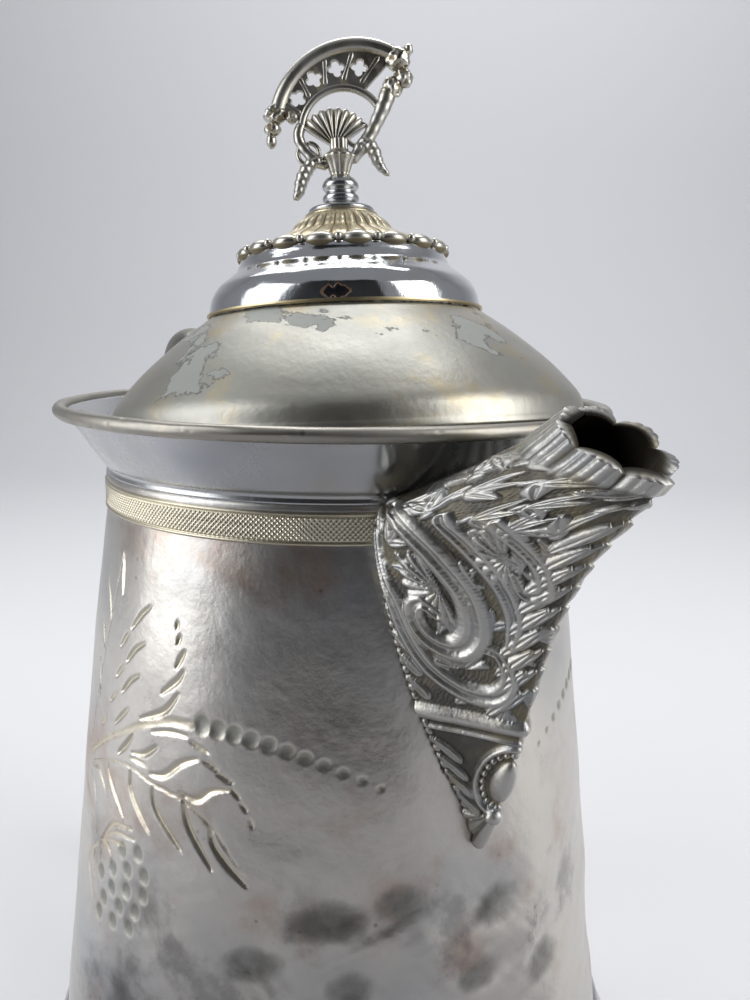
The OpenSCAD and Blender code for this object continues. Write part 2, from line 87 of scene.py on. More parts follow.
rim_low, rim_high = span("rim_wire", 2)
RIM_Z = (rim_low + rim_high) / 2
RIM_WIRE_R = (rim_high - rim_low) / 2
RIM_R = span("rim_wire", 0)[1] - RIM_WIRE_R
BAND_Z0, BAND_Z1 = span("knurled_band", 2)
BAND_R = span("knurled_band", 0)[1]
NECK_R = BAND_R - 0.6
FOOT_H = span("foot_ring", 2)[1]
BASE_R = span("body_shell", 0)[1]
NECK_Z = span("gallery", 2)[0]
HINGE = [c / MM for c in frame["joints"][0]["pos_m"]]
WALL = 1.4
BELLY = 0.9
LID_TILT = math.radians(5.5)
LID_SHIFT = (4.0, 1.0)
LID_R = 56.0
LID_EDGE_Z = -11.5
CROWN_R = 32.0
CROWN_Z = 14.4
lid_place = (Matrix.Translation(Vector((HINGE[0], 0, HINGE[2])))
             @ Matrix.Rotation(-LID_TILT, 4, "Y")
             @ Matrix.Translation(Vector((LID_SHIFT[0] - HINGE[0], LID_SHIFT[1], RIM_Z - HINGE[2]))))
print("rim at", round(RIM_Z, 2), "radius", round(RIM_R, 2), "body base", round(BASE_R, 2))

# %% [markdown]
# ## The camera
# The camera goes in first, because every later choice is judged through it. It stands close to the pot,
# a little above the rim, and looks slightly down, with the spout turned about thirty degrees to its right.

# %% Camera
CAMERA_AT = (191.5, -99.2, RIM_Z + 17.8)
CAMERA_HEADING = math.radians(150)
CAMERA_PITCH = math.radians(10.92)
CAMERA_ROLL = math.radians(0.74)
CAMERA_LENS = 31.32


def aim_camera():
    look = Vector((math.cos(CAMERA_HEADING) * math.cos(CAMERA_PITCH),
                   math.sin(CAMERA_HEADING) * math.cos(CAMERA_PITCH), -math.sin(CAMERA_PITCH)))
    right = look.cross(Vector((0, 0, 1))).normalized()
    up = right.cross(look)
    side = right * math.cos(CAMERA_ROLL) + up * math.sin(CAMERA_ROLL)
    top = up * math.cos(CAMERA_ROLL) - right * math.sin(CAMERA_ROLL)
    turn = Matrix((side, top, -look)).transposed().to_4x4()
    data = bpy.data.cameras.new("view_camera")
    data.lens = CAMERA_LENS
    data.sensor_width = 36
    data.clip_start = 0.01
    camera = bpy.data.objects.new("view_camera", data)
    camera.matrix_world = Matrix.Translation(Vector(CAMERA_AT) * MM) @ turn
    bpy.context.scene.collection.objects.link(camera)
    bpy.context.scene.camera = camera
    return camera


camera = aim_camera()
bpy.context.scene.view_settings.view_transform = "Standard"

# %% [markdown]
# ## Grids of points
# Almost every piece is a sheet that can be described row by row: a turned profile, a casting's skin, a bent
# rod. So one helper builds a mesh from a grid of points, and the detail, such as dents, cuts and knurling,
# is pushed into the grid along its own normals before the mesh is made. A closed grid has no open edges.

# %% Grid helpers
def grid_normals(points, wrap_rows, wrap_columns):
    def step(axis, wrap):
        if wrap:
            return np.roll(points, -1, axis) - np.roll(points, 1, axis)
        return np.gradient(points, axis=axis)
    normal = np.cross(step(1, wrap_columns), step(0, wrap_rows))
    return normal / np.maximum(np.linalg.norm(normal, axis=2, keepdims=True), 1e-9)


def grid_mesh(name, points, wrap_rows=False, wrap_columns=True, caps=False):
    rows, columns = points.shape[:2]
    r = np.arange(rows if wrap_rows else rows - 1)
    c = np.arange(columns if wrap_columns else columns - 1)
    r, c = np.meshgrid(r, c, indexing="ij")
    r2, c2 = (r + 1) % rows, (c + 1) % columns
    quads = np.stack([r * columns + c, r * columns + c2, r2 * columns + c2, r2 * columns + c], -1).reshape(-1, 4)
    mesh = bpy.data.meshes.new(name)
    extra = [list(range(columns))[::-1], [(rows - 1) * columns + i for i in range(columns)]] if caps else []
    if extra:
        mesh.from_pydata((points.reshape(-1, 3) * MM).tolist(), [], quads.tolist() + extra)
    else:
        mesh.vertices.add(rows * columns)
        mesh.vertices.foreach_set("co", (points.reshape(-1, 3) * MM).astype(np.float32).ravel())
        mesh.loops.add(quads.size)
        mesh.loops.foreach_set("vertex_index", quads.astype(np.int32).ravel())
        mesh.polygons.add(len(quads))
        mesh.polygons.foreach_set("loop_start", np.arange(0, quads.size, 4, dtype=np.int32))
    mesh.update(calc_edges=True)
    mesh.validate()
    mesh.polygons.foreach_set("use_smooth", [True] * len(mesh.polygons))
    return mesh


def pierced_mesh(name, front, back, gone, wrap_columns=True):
    """Two matching sheets with the cells in gone left out of both, joined by walls round every edge."""
    rows, columns = front.shape[:2]
    last = columns if wrap_columns else columns - 1
    keep = ~gone[:rows - 1, :last]
    r, c = np.nonzero(keep)
    c2 = (c + 1) % columns
    lower = rows * columns
    corners = [r * columns + c, r * columns + c2, (r + 1) * columns + c2, (r + 1) * columns + c]
    quads = [np.stack(corners, 1), np.stack(corners[::-1], 1) + lower]
    full = np.pad(keep, 1)
    if wrap_columns:
        full[1:-1, 0], full[1:-1, -1] = keep[:, -1], keep[:, 0]
    sides = ((full[:-2, 1:-1], 0, 1), (full[1:-1, 2:], 1, 2), (full[2:, 1:-1], 2, 3), (full[1:-1, :-2], 3, 0))
    for neighbour, first, second in sides:
        edge = keep & ~neighbour
        r, c = np.nonzero(edge)
        c2 = (c + 1) % columns
        corners = [r * columns + c, r * columns + c2, (r + 1) * columns + c2, (r + 1) * columns + c]
        a, b = corners[first], corners[second]
        quads.append(np.stack([b, a, a + lower, b + lower], 1))
    quads = np.concatenate(quads).astype(np.int32)
    points = np.concatenate([front.reshape(-1, 3), back.reshape(-1, 3)]) * MM
    mesh = bpy.data.meshes.new(name)
    mesh.vertices.add(len(points))
    mesh.vertices.foreach_set("co", points.astype(np.float32).ravel())
    mesh.loops.add(quads.size)
    mesh.loops.foreach_set("vertex_index", quads.ravel())
    mesh.polygons.add(len(quads))
    mesh.polygons.foreach_set("loop_start", np.arange(0, quads.size, 4, dtype=np.int32))
    mesh.update(calc_edges=True)
    mesh.validate()
    mesh.polygons.foreach_set("use_smooth", [True] * len(mesh.polygons))
    return mesh


def paint(mesh, name, values):
    layer = mesh.attributes.new(name, "FLOAT", "POINT")
    layer.data.foreach_set("value", np.ascontiguousarray(values, dtype=np.float32).ravel())


def place(mesh, body, material, replaced=(), on_lid=False):
    piece = bpy.data.objects.new(mesh.name, mesh)
    bpy.context.scene.collection.objects.link(piece)
    if on_lid:
        mesh.transform(lid_metres)
    mesh.materials.append(material)
    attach(piece, body)
    if replaced:
        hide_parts(*replaced)
    return piece


lid_metres = lid_place.copy()
lid_metres.translation = lid_place.translation * MM


def catmull(points, count, closed=False):
    """A smooth curve of count points through the given ones, evenly spaced along its length."""
    p = np.array(points, float)
    n = len(p)
    ring = np.vstack([p[-1], p, p[0], p[1]]) if closed else np.vstack([2 * p[0] - p[1], p, 2 * p[-1] - p[-2]])
    fine = []
    for i in range(n if closed else n - 1):
        a, b, c, d = ring[i:i + 4]
        for u in np.linspace(0, 1, 24, endpoint=False):
            fine.append(0.5 * (2 * b + (c - a) * u + (2 * a - 5 * b + 4 * c - d) * u * u
                               + (3 * b - a - 3 * c + d) * u ** 3))
    fine.append(ring[1] if closed else p[-1])
    fine = np.array(fine)
    length = np.concatenate([[0], np.cumsum(np.linalg.norm(np.diff(fine, axis=0), axis=1))])
    at = np.linspace(0, length[-1], count, endpoint=not closed)
    return np.stack([np.interp(at, length, fine[:, k]) for k in range(fine.shape[1])], 1)


def turned(profile, columns):
    """Spins a profile of (radius, height) round the Z axis, with columns angles in radians."""
    profile = np.array(profile, float)
    return np.stack([profile[:, :1] * np.cos(columns), profile[:, :1] * np.sin(columns),
                     np.repeat(profile[:, 1:], len(columns), 1)], -1)


def around(count):
    return np.linspace(-math.pi, math.pi, count, endpoint=False)


def bump(distance, width):
    """A smooth hill of height 1 at distance 0 that is gone at distance = width."""
    x = np.clip(np.abs(distance) / width, 0, 1)
    return (1 - x * x) ** 2


def soft_noise(*coordinates, seed=0, octaves=3):
    """A repeatable smooth noise made of a few sine waves in different directions."""
    total = np.zeros(np.broadcast(*coordinates).shape)
    dice = np.random.default_rng(seed)
    weight = 1.0
    for octave in range(octaves):
        for _ in range(5):
            way = dice.normal(size=len(coordinates)) * 1.9 ** octave
            total = total + weight * np.sin(sum(w * c for w, c in zip(way, coordinates)) + dice.uniform(0, 6.28))
        weight *= 0.55
    return total / 4


def ramp(x, low, high):
    t = np.clip((x - low) / (high - low), 0, 1)
    return t * t * (3 - 2 * t)

# %% [markdown]
# ## Materials: one worn plate, several tempers
# Silver plate on a soft base metal never shows one colour. It carries a cloudy tone, a haze of fine scratches,
# specks where the base has come through, and dirt in the low places. These effects are needed on every piece,
# so each is a node group with named inputs, and each material sets its own strength and colours.

# %% Node helpers
def new_group(name, inputs, outputs):
    tree = bpy.data.node_groups.new(name, "ShaderNodeTree")
    for label, kind, value in inputs:
        socket = tree.interface.new_socket(name=label, in_out="INPUT", socket_type="NodeSocket" + kind)
        if value is not None:
            socket.default_value = value
    for label, kind in outputs:
        tree.interface.new_socket(name=label, in_out="OUTPUT", socket_type="NodeSocket" + kind)
    return tree, tree.nodes.new("NodeGroupInput"), tree.nodes.new("NodeGroupOutput")


def noise(tree, vector, scale, detail=4.0, rough=0.55, distortion=0.0):
    node = tree.nodes.new("ShaderNodeTexNoise")
    node.inputs["Scale"].default_value = scale
    node.inputs["Detail"].default_value = detail
    node.inputs["Roughness"].default_value = rough
    node.inputs["Distortion"].default_value = distortion
    if vector is not None:
        tree.links.new(vector, node.inputs["Vector"])
    return node.outputs["Fac"]


def stretch(tree, value, low, high, to_low=0.0, to_high=1.0):
    node = tree.nodes.new("ShaderNodeMapRange")
    node.interpolation_type = "SMOOTHSTEP"
    feed(tree, value, node.inputs["Value"])
    feed(tree, low, node.inputs["From Min"])
    feed(tree, high, node.inputs["From Max"])
    feed(tree, to_low, node.inputs["To Min"])
    feed(tree, to_high, node.inputs["To Max"])
    return node.outputs["Result"]


def feed(tree, value, socket):
    if isinstance(value, bpy.types.NodeSocket):
        tree.links.new(value, socket)
    else:
        socket.default_value = value


def sums(tree, operation, a, b, clamp=False):
    node = tree.nodes.new("ShaderNodeMath")
    node.operation = operation
    node.use_clamp = clamp
    feed(tree, a, node.inputs[0])
    feed(tree, b, node.inputs[1])
    return node.outputs["Value"]


def mixed(tree, share, a, b, blend="MIX"):
    node = tree.nodes.new("ShaderNodeMix")
    node.data_type = "RGBA"
    node.blend_type = blend
    feed(tree, share, node.inputs["Factor"])
    for value, socket in ((a, node.inputs["A"]), (b, node.inputs["B"])):
        feed(tree, value if isinstance(value, bpy.types.NodeSocket) else (*value[:3], 1.0), socket)
    return node.outputs["Result"]


def place_vector(tree, scale=(1, 1, 1), turn=(0, 0, 0)):
    where = tree.nodes.new("ShaderNodeTexCoord")
    mapping = tree.nodes.new("ShaderNodeMapping")
    mapping.inputs["Scale"].default_value = scale
    mapping.inputs["Rotation"].default_value = turn
    tree.links.new(where.outputs["Object"], mapping.inputs["Vector"])
    return mapping.outputs["Vector"]


# %% [markdown]
# ### Tarnish clouds
# Tarnish drifts over a surface in soft clouds of blue, brown and yellow. Two noises of different size choose
# between three colours. The group gives a colour and a cloud mask that can also move the roughness.

# %% Tarnish group
def tarnish_group():
    tree, into, out = new_group("tarnish clouds", [
        ("Vector", "Vector", None), ("Plate", "Color", (0.6, 0.6, 0.6, 1)), ("Cool", "Color", (0.5, 0.52, 0.58, 1)),
        ("Warm", "Color", (0.6, 0.5, 0.35, 1)), ("Scale", "Float", 25.0), ("Cool Amount", "Float", 0.5),
        ("Warm Amount", "Float", 0.4)], [("Color", "Color"), ("Cloud", "Float")])
    i = into.outputs
    broad = noise(tree, i["Vector"], 1.0, 3.0)
    fine = noise(tree, i["Vector"], 1.0, 6.0, 0.6)
    tree.links.new(i["Scale"], broad.node.inputs["Scale"])
    tree.links.new(sums(tree, "MULTIPLY", i["Scale"], 2.7), fine.node.inputs["Scale"])
    cool = sums(tree, "MULTIPLY", stretch(tree, broad, 0.42, 0.68), i["Cool Amount"])
    warm = sums(tree, "MULTIPLY", stretch(tree, fine, 0.5, 0.72), i["Warm Amount"])
    colour = mixed(tree, warm, mixed(tree, cool, i["Plate"], i["Cool"]), i["Warm"])
    tree.links.new(colour, out.inputs["Color"])
    tree.links.new(broad, out.inputs["Cloud"])
    return tree


# %% [markdown]
# ### Specks and scratches
# Specks are the small dark pits where plating has lifted. A Voronoi texture gives scattered cells, and a noise
# decides which cells carry a speck. The scratches are a stretched noise, and only feed the bump and roughness.

# %% Speck and scratch groups
def speck_group():
    tree, into, out = new_group("plate specks", [
        ("Vector", "Vector", None), ("Scale", "Float", 300.0), ("Size", "Float", 0.25), ("Amount", "Float", 0.5)],
        [("Speck", "Float")])
    i = into.outputs
    cells = tree.nodes.new("ShaderNodeTexVoronoi")
    tree.links.new(i["Vector"], cells.inputs["Vector"])
    tree.links.new(i["Scale"], cells.inputs["Scale"])
    where = noise(tree, i["Vector"], 45.0, 3.0)
    dot = stretch(tree, cells.outputs["Distance"], i["Size"], sums(tree, "MULTIPLY", i["Size"], 0.4))
    chosen = stretch(tree, where, sums(tree, "SUBTRACT", 0.78, sums(tree, "MULTIPLY", i["Amount"], 0.3)), 0.8)
    tree.links.new(sums(tree, "MULTIPLY", dot, chosen, True), out.inputs["Speck"])
    return tree


def haze_group():
    tree, into, out = new_group("scratch haze", [
        ("Vector", "Vector", None), ("Scale", "Float", 500.0)], [("Haze", "Float")])
    i = into.outputs
    long_x = tree.nodes.new("ShaderNodeMapping")
    long_x.inputs["Scale"].default_value = (1.0, 1.0, 0.12)
    long_x.inputs["Rotation"].default_value = (0.5, 0.3, 0.0)
    tree.links.new(i["Vector"], long_x.inputs["Vector"])
    first = noise(tree, long_x.outputs["Vector"], 1.0, 5.0, 0.7)
    tree.links.new(i["Scale"], first.node.inputs["Scale"])
    second = noise(tree, i["Vector"], 1.0, 6.0, 0.75)
    tree.links.new(sums(tree, "MULTIPLY", i["Scale"], 0.6), second.node.inputs["Scale"])
    tree.links.new(sums(tree, "MULTIPLY", sums(tree, "ADD", first, second), 0.5), out.inputs["Haze"])
    return tree


TARNISH, SPECKS, HAZE = tarnish_group(), speck_group(), haze_group()


def use(tree, group, **values):
    node = tree.nodes.new("ShaderNodeGroup")
    node.node_tree = group
    for label, value in values.items():
        socket = node.inputs[label.replace("_", " ")]
        if not isinstance(value, bpy.types.NodeSocket) and socket.type == "RGBA":
            value = (*value, 1.0)
        feed(tree, value, socket)
    return node.outputs


def attribute(tree, name):
    node = tree.nodes.new("ShaderNodeAttribute")
    node.attribute_name = name
    return node.outputs["Fac"]


def new_material(name, metallic=1.0):
    material = bpy.data.materials.new(name)
    material.use_nodes = True
    shader = material.node_tree.nodes["Principled BSDF"]
    shader.inputs["Metallic"].default_value = metallic
    return material, material.node_tree, shader


def add_bump(tree, shader, height, distance, strength=1.0):
    node = tree.nodes.new("ShaderNodeBump")
    node.inputs["Distance"].default_value = distance
    node.inputs["Strength"].default_value = strength
    tree.links.new(height, node.inputs["Height"])
    tree.links.new(node.outputs["Normal"], shader.inputs["Normal"])


def plated(name, plate, cool, warm, rough=(0.2, 0.4), cloud=25.0, cool_amount=0.5, warm_amount=0.35,
           specks=0.4, speck_colour=(0.05, 0.05, 0.045), speck_scale=300.0, haze=0.00002, relief=None,
           dirt=(0.10, 0.085, 0.05)):
    """A worn plated finish. relief names a mesh attribute that is 0 in the low places and 1 on the high ones."""
    material, tree, shader = new_material(name)
    where = place_vector(tree)
    clouds = use(tree, TARNISH, Vector=where, Plate=plate, Cool=cool, Warm=warm, Scale=cloud,
                 Cool_Amount=cool_amount, Warm_Amount=warm_amount)
    speck = use(tree, SPECKS, Vector=where, Scale=speck_scale, Amount=specks)["Speck"]
    scratch = use(tree, HAZE, Vector=where)["Haze"]
    colour = mixed(tree, speck, clouds["Color"], speck_colour)
    gloss = stretch(tree, sums(tree, "ADD", clouds["Cloud"], sums(tree, "MULTIPLY", scratch, 0.5)),
                    0.5, 1.0, rough[0], rough[1])
    if relief:
        low = stretch(tree, attribute(tree, relief), 0.55, 0.05)
        colour = mixed(tree, sums(tree, "MULTIPLY", low, 0.85), colour, dirt)
        gloss = sums(tree, "ADD", gloss, sums(tree, "MULTIPLY", low, 0.35), True)
    tree.links.new(colour, shader.inputs["Base Color"])
    tree.links.new(gloss, shader.inputs["Roughness"])
    add_bump(tree, shader, scratch, haze)
    return material


silver_body = plated("satin plate", (0.55, 0.545, 0.54), (0.42, 0.45, 0.52), (0.46, 0.40, 0.33), rough=(0.2, 0.38))
silver_gallery = plated("bluish plate", (0.50, 0.505, 0.51), (0.35, 0.375, 0.42), (0.48, 0.43, 0.34),
                        rough=(0.16, 0.36),
                        specks=0.6)
brass_rim = plated("worn rim", (0.37, 0.35, 0.31), (0.31, 0.30, 0.28), (0.46, 0.39, 0.28),
                   rough=(0.32, 0.5), specks=0.9,
                   cloud=60.0)
gilt_band = plated("pale gilt", (0.66, 0.61, 0.48), (0.50, 0.50, 0.48), (0.70, 0.60, 0.38), rough=(0.28, 0.42),
                   relief="relief", dirt=(0.22, 0.18, 0.10))
cast_silver = plated("cast silver", (0.56, 0.54, 0.48), (0.42, 0.43, 0.43), (0.56, 0.47, 0.30), rough=(0.22, 0.42),
                     relief="relief", dirt=(0.20, 0.16, 0.085), cloud=90.0)
lid_pewter = plated("worn lid plate", (0.48, 0.48, 0.44), (0.36, 0.37, 0.36), (0.50, 0.46, 0.34), rough=(0.3, 0.45))
gilt_wash = plated("gold wash", (0.66, 0.58, 0.40), (0.52, 0.50, 0.44), (0.66, 0.50, 0.24), rough=(0.25, 0.4),
                   relief="relief", dirt=(0.2, 0.14, 0.06))
turned_brass = plated("turned brass", (0.62, 0.52, 0.32), (0.5, 0.44, 0.3), (0.6, 0.46, 0.24), rough=(0.25, 0.4))

# %% [markdown]
# ## Studio
# A pale sweep stands for the floor and the wall behind it. Two tall soft lights stand left and right, and a dark
# card stands behind the camera: a metal shows only what it mirrors, and the card is its dark middle.

# %% Floor, lights and card
def stage_mesh(name, vertices, faces, material):
    mesh = bpy.data.meshes.new(name)
    mesh.from_pydata([Vector(v) * MM for v in vertices], [], faces)
    mesh.materials.append(material)
    for polygon in mesh.polygons:
        polygon.use_smooth = True
    obj = bpy.data.objects.new(name, mesh)
    bpy.context.scene.collection.objects.link(obj)
    return obj


def paper_material():
    material, _, shader = new_material("seamless paper", 0.0)
    shader.inputs["Base Color"].default_value = (0.80, 0.80, 0.815, 1)
    shader.inputs["Roughness"].default_value = 0.9
    return material


def sweep():
    """A floor that curves up into a wall behind the pot, as seen from the camera."""
    across = [-2600, 2600]
    curve = [(900 + 500 * math.sin(a), 500 - 500 * math.cos(a)) for a in np.linspace(0.15, math.pi / 2, 10)]
    section = [(-1500, 0), (900, 0)] + curve + [(1400, 2600)]
    away = (math.cos(CAMERA_HEADING), math.sin(CAMERA_HEADING))
    left = (-away[1], away[0])
    vertices = [(away[0] * d + left[0] * a, away[1] * d + left[1] * a, z) for d, z in section for a in across]
    faces = [(2 * i, 2 * i + 1, 2 * i + 3, 2 * i + 2) for i in range(len(section) - 1)]
    return stage_mesh("studio_sweep", vertices, faces, paper_material())


def turned_point(distance, degrees_left, height):
    """A point that far from the pot's axis, degrees_left of the camera's heading as seen from above."""
    angle = CAMERA_HEADING + math.radians(degrees_left)
    return Vector((distance * math.cos(angle), distance * math.sin(angle), height)) * MM


def soft_light(name, at, size, power, colour=(1, 1, 1), target=(0, 0, 120)):
    data = bpy.data.lights.new(name, "AREA")
    data.shape = "RECTANGLE"
    data.size, data.size_y = size[0] * MM, size[1] * MM
    data.energy = power
    data.color = colour
    light = bpy.data.objects.new(name, data)
    light.location = at
    light.rotation_euler = (Vector(target) * MM - at).to_track_quat("-Z", "Y").to_euler()
    bpy.context.scene.collection.objects.link(light)
    return light


def dark_card(name, vertices, faces, grey):
    """A card that only reflections see, so that metal has something dark to mirror."""
    material, _, shader = new_material(name + "_cloth", 0.0)
    shader.inputs["Base Color"].default_value = (grey, grey, grey * 1.05, 1)
    shader.inputs["Roughness"].default_value = 1.0
    card = stage_mesh(name, vertices, faces, material)
    card.visible_camera = False
    card.visible_shadow = False
    card.visible_diffuse = False
    return card


def front_card():
    """A dark arc behind the camera."""
    at = [turned_point(620, 180 + a, 0) / MM for a in np.linspace(-44, 34, 13)]
    vertices = [(p[0], p[1], z) for p in at for z in (-5, 1150)]
    return dark_card("front_card", vertices, [(2 * i, 2 * i + 1, 2 * i + 3, 2 * i + 2) for i in range(12)],
                     0.025)


def floor_card():
    """A grey cloth on the floor in front of the pot."""
    angles = np.linspace(-80, 75, 19)
    vertices = [tuple(turned_point(r, 180 + a, 0.5) / MM) for a in angles for r in (84, 640)]
    return dark_card("floor_card", vertices, [(2 * i, 2 * i + 1, 2 * i + 3, 2 * i + 2) for i in range(18)],
                     0.42)


sweep()
front_card()
floor_card()
soft_light("left_window", turned_point(620, 108, 360), (420, 700), 2.7, (0.97, 0.98, 1.0))
soft_light("right_window", turned_point(640, -112, 420), (420, 640), 3.0, (1.0, 0.99, 0.97))
soft_light("top_light", turned_point(420, 20, 800), (520, 420), 1.6)
WALL_SPOT = tuple(turned_point(1300, -15, 300) / MM)
soft_light("wall_light", turned_point(500, -20, 1500), (900, 300), 8.5, (0.97, 0.98, 1.0), WALL_SPOT)
world = bpy.data.worlds.new("studio_air")
world.use_nodes = True
world.node_tree.nodes["Background"].inputs["Color"].default_value = (0.80, 0.82, 0.87, 1)
world.node_tree.nodes["Background"].inputs["Strength"].default_value = 0.36
bpy.context.scene.world = world

# %% [markdown]
# ## The body
# The body is one spun sheet, so it is made as one closed grid: up the outside, over the edge and down the
# inside. The engraving was cut with a graver, which leaves V-shaped strokes with bright walls. Each stroke is
# a line from one point to the next with a width that swells in the middle, and the grid is fine enough round it
# to hold the cut as real geometry. Dents are wide, shallow hills and hollows pushed in the same way.

# %% Body sizes


def body_radius(z):
    share = np.clip((BAND_Z0 - z) / (BAND_Z0 - FOOT_H), 0, None) ** BELLY
    return NECK_R + (BASE_R - NECK_R) * share


# %% Engraving strokes
# Each cut is a list of (azimuth in degrees, height in mm) with its half width in mm.
# The places are measured values that a scratch script worked out, rounded. They follow no rule.
UPRIGHT_SPRIG = [
    ([(-81, 143), (-84, 132), (-87, 121), (-90, 108), (-92, 96)], 0.3), ([(-81, 143), (-80.5, 139), (-80, 134)], 0.9),
    ([(-90, 136), (-87, 132), (-85, 127)], 0.8), ([(-69, 134), (-72, 131.5), (-75, 128)], 1.0),
    ([(-76, 127), (-79, 123)], 0.9), ([(-70, 126), (-73, 124), (-76, 120.5)], 1.0), ([(-77, 119.5), (-80, 116)], 0.9),
    ([(-71, 119), (-74, 117), (-77, 113.5)], 1.0), ([(-79, 113), (-82, 110)], 0.9), ([(-74, 111), (-79, 106)], 1.0),
    ([(-83, 106), (-86, 103)], 0.8), ([(-91, 126), (-88, 120)], 0.8), ([(-91, 117), (-88, 109)], 0.8),
    ([(-61, 132.5), (-61, 130.5)], 0.8), ([(-60, 130), (-60.5, 127.5)], 0.9), ([(-58.5, 127), (-60.5, 123)], 1.1),
    ([(-58.5, 123), (-60, 120.5), (-64, 117)], 1.2), ([(-59.5, 118), (-63, 113.5), (-70, 110)], 1.2)]
DROOPING_SPRIG = [
    ([(-90, 93), (-81, 97), (-72, 99), (-66, 98), (-58, 97), (-52, 94), (-49, 91), (-43, 83)], 0.45),
    ([(-72, 106), (-74, 103), (-77, 100)], 1.3), ([(-64, 106), (-68, 103), (-72, 102)], 1.2),
    ([(-72, 101), (-67, 101)], 0.8), ([(-54, 106), (-58, 104), (-62, 100.5), (-66, 99.5)], 1.3),
    ([(-47, 101), (-51, 100), (-54, 97.5), (-58, 98)], 1.3), ([(-66, 108.5), (-61, 109.8), (-56, 110)], 0.8),
    ([(-56, 109), (-51.5, 107.5)], 0.9), ([(-53, 106), (-49.5, 104.5)], 0.9), ([(-50, 104), (-46.5, 102.5)], 0.9),
    ([(-47, 101.5), (-45, 99.5)], 0.8), ([(-45, 99), (-43.5, 97)], 0.7), ([(-43, 96), (-42.5, 94)], 0.6),
    ([(-81, 96), (-79, 92.5), (-73, 87)], 1.1), ([(-72, 98), (-71, 93.5), (-65, 87)], 1.2),
    ([(-65, 97), (-63.5, 92.5), (-57, 86)], 1.3), ([(-57, 97), (-55.5, 91.5), (-50, 84)], 1.3),
    ([(-51, 93), (-49.5, 88.5), (-43, 82)], 1.2), ([(-90, 92), (-86, 93), (-81, 89.5)], 1.0),
    ([(-91, 90), (-88, 88), (-86, 84)], 0.9), ([(-94, 86), (-89, 83), (-84, 78)], 0.6)]
SEED_CUP = [
    ([(-82, 78), (-77, 84), (-70, 86)], 0.8), ([(-82, 78), (-76, 82.5), (-69, 84)], 0.7),
    ([(-82, 78), (-76, 80.5), (-72, 81)], 0.7), ([(-82, 78), (-78, 78), (-76, 75.5)], 0.7),
    ([(-82, 78), (-81, 74), (-79, 71)], 0.7), ([(-83, 77), (-85, 73), (-84, 68)], 0.7),
    ([(-83, 77), (-88, 71), (-86, 66), (-83, 62)], 0.8)]


def berry_dots():
    """Oval punch marks packed into a round seed head."""
    return [(azimuth, z, 1.75, 2.05, 0.32) for azimuth, z in [
        (-68, 81.5), (-73, 80), (-66, 77.3), (-71, 76.5), (-76, 74.5), (-66, 73), (-71, 71.8), (-76, 70),
        (-81, 71), (-68, 68.5), (-73, 67.2), (-79, 66), (-69.5, 64.2), (-75, 62.8), (-80.5, 62)]]


def bead_row():
    """A line of round punches that arches over the pot's front and dies away."""
    dots = []
    for k in range(11):
        share = k / 10
        dots.append((-53.5 + 34.5 * share, 113 - 1.5 * share - 8.8 * share * share, 2.0 - 1.2 * share * share,
                     2.3 - 1.6 * share, 0.42 - 0.22 * share))
    return dots


DENTS = [(-42, 66, 9, 5, -0.9), (-28, 76, 12, 6, -0.8), (-25, 62, 7, 5, -0.9), (-16, 79, 8, 5, -0.9),
         (-10, 68, 9, 6, 0.8), (5, 73, 9, 6, -0.8), (0, 60, 8, 5, -0.9), (17, 54, 9, 6, -0.8), (-55, 60, 12, 8, 0.6),
         (-88, 52, 12, 9, 0.9), (-70, 44, 12, 10, -0.7), (-35, 48, 14, 10, 0.8), (-12, 40, 12, 10, -0.8),
         (-36, 92, 14, 9, -0.4), (-20, 98, 10, 10, 0.35), (32, 64, 12, 9, -0.5), (28, 88, 12, 9, 0.5),
         (-60, 134, 16, 8, -0.35), (-32, 122, 16, 12, -0.3), (120, 60, 18, 14, -0.8), (160, 90, 16, 14, -0.5),
         (-140, 46, 16, 12, -0.8), (-160, 104, 14, 12, 0.4), (80, 50, 14, 10, 0.7), (60, 36, 14, 10, -0.6)]


def wrapped(degrees):
    return (degrees + 180) % 360 - 180


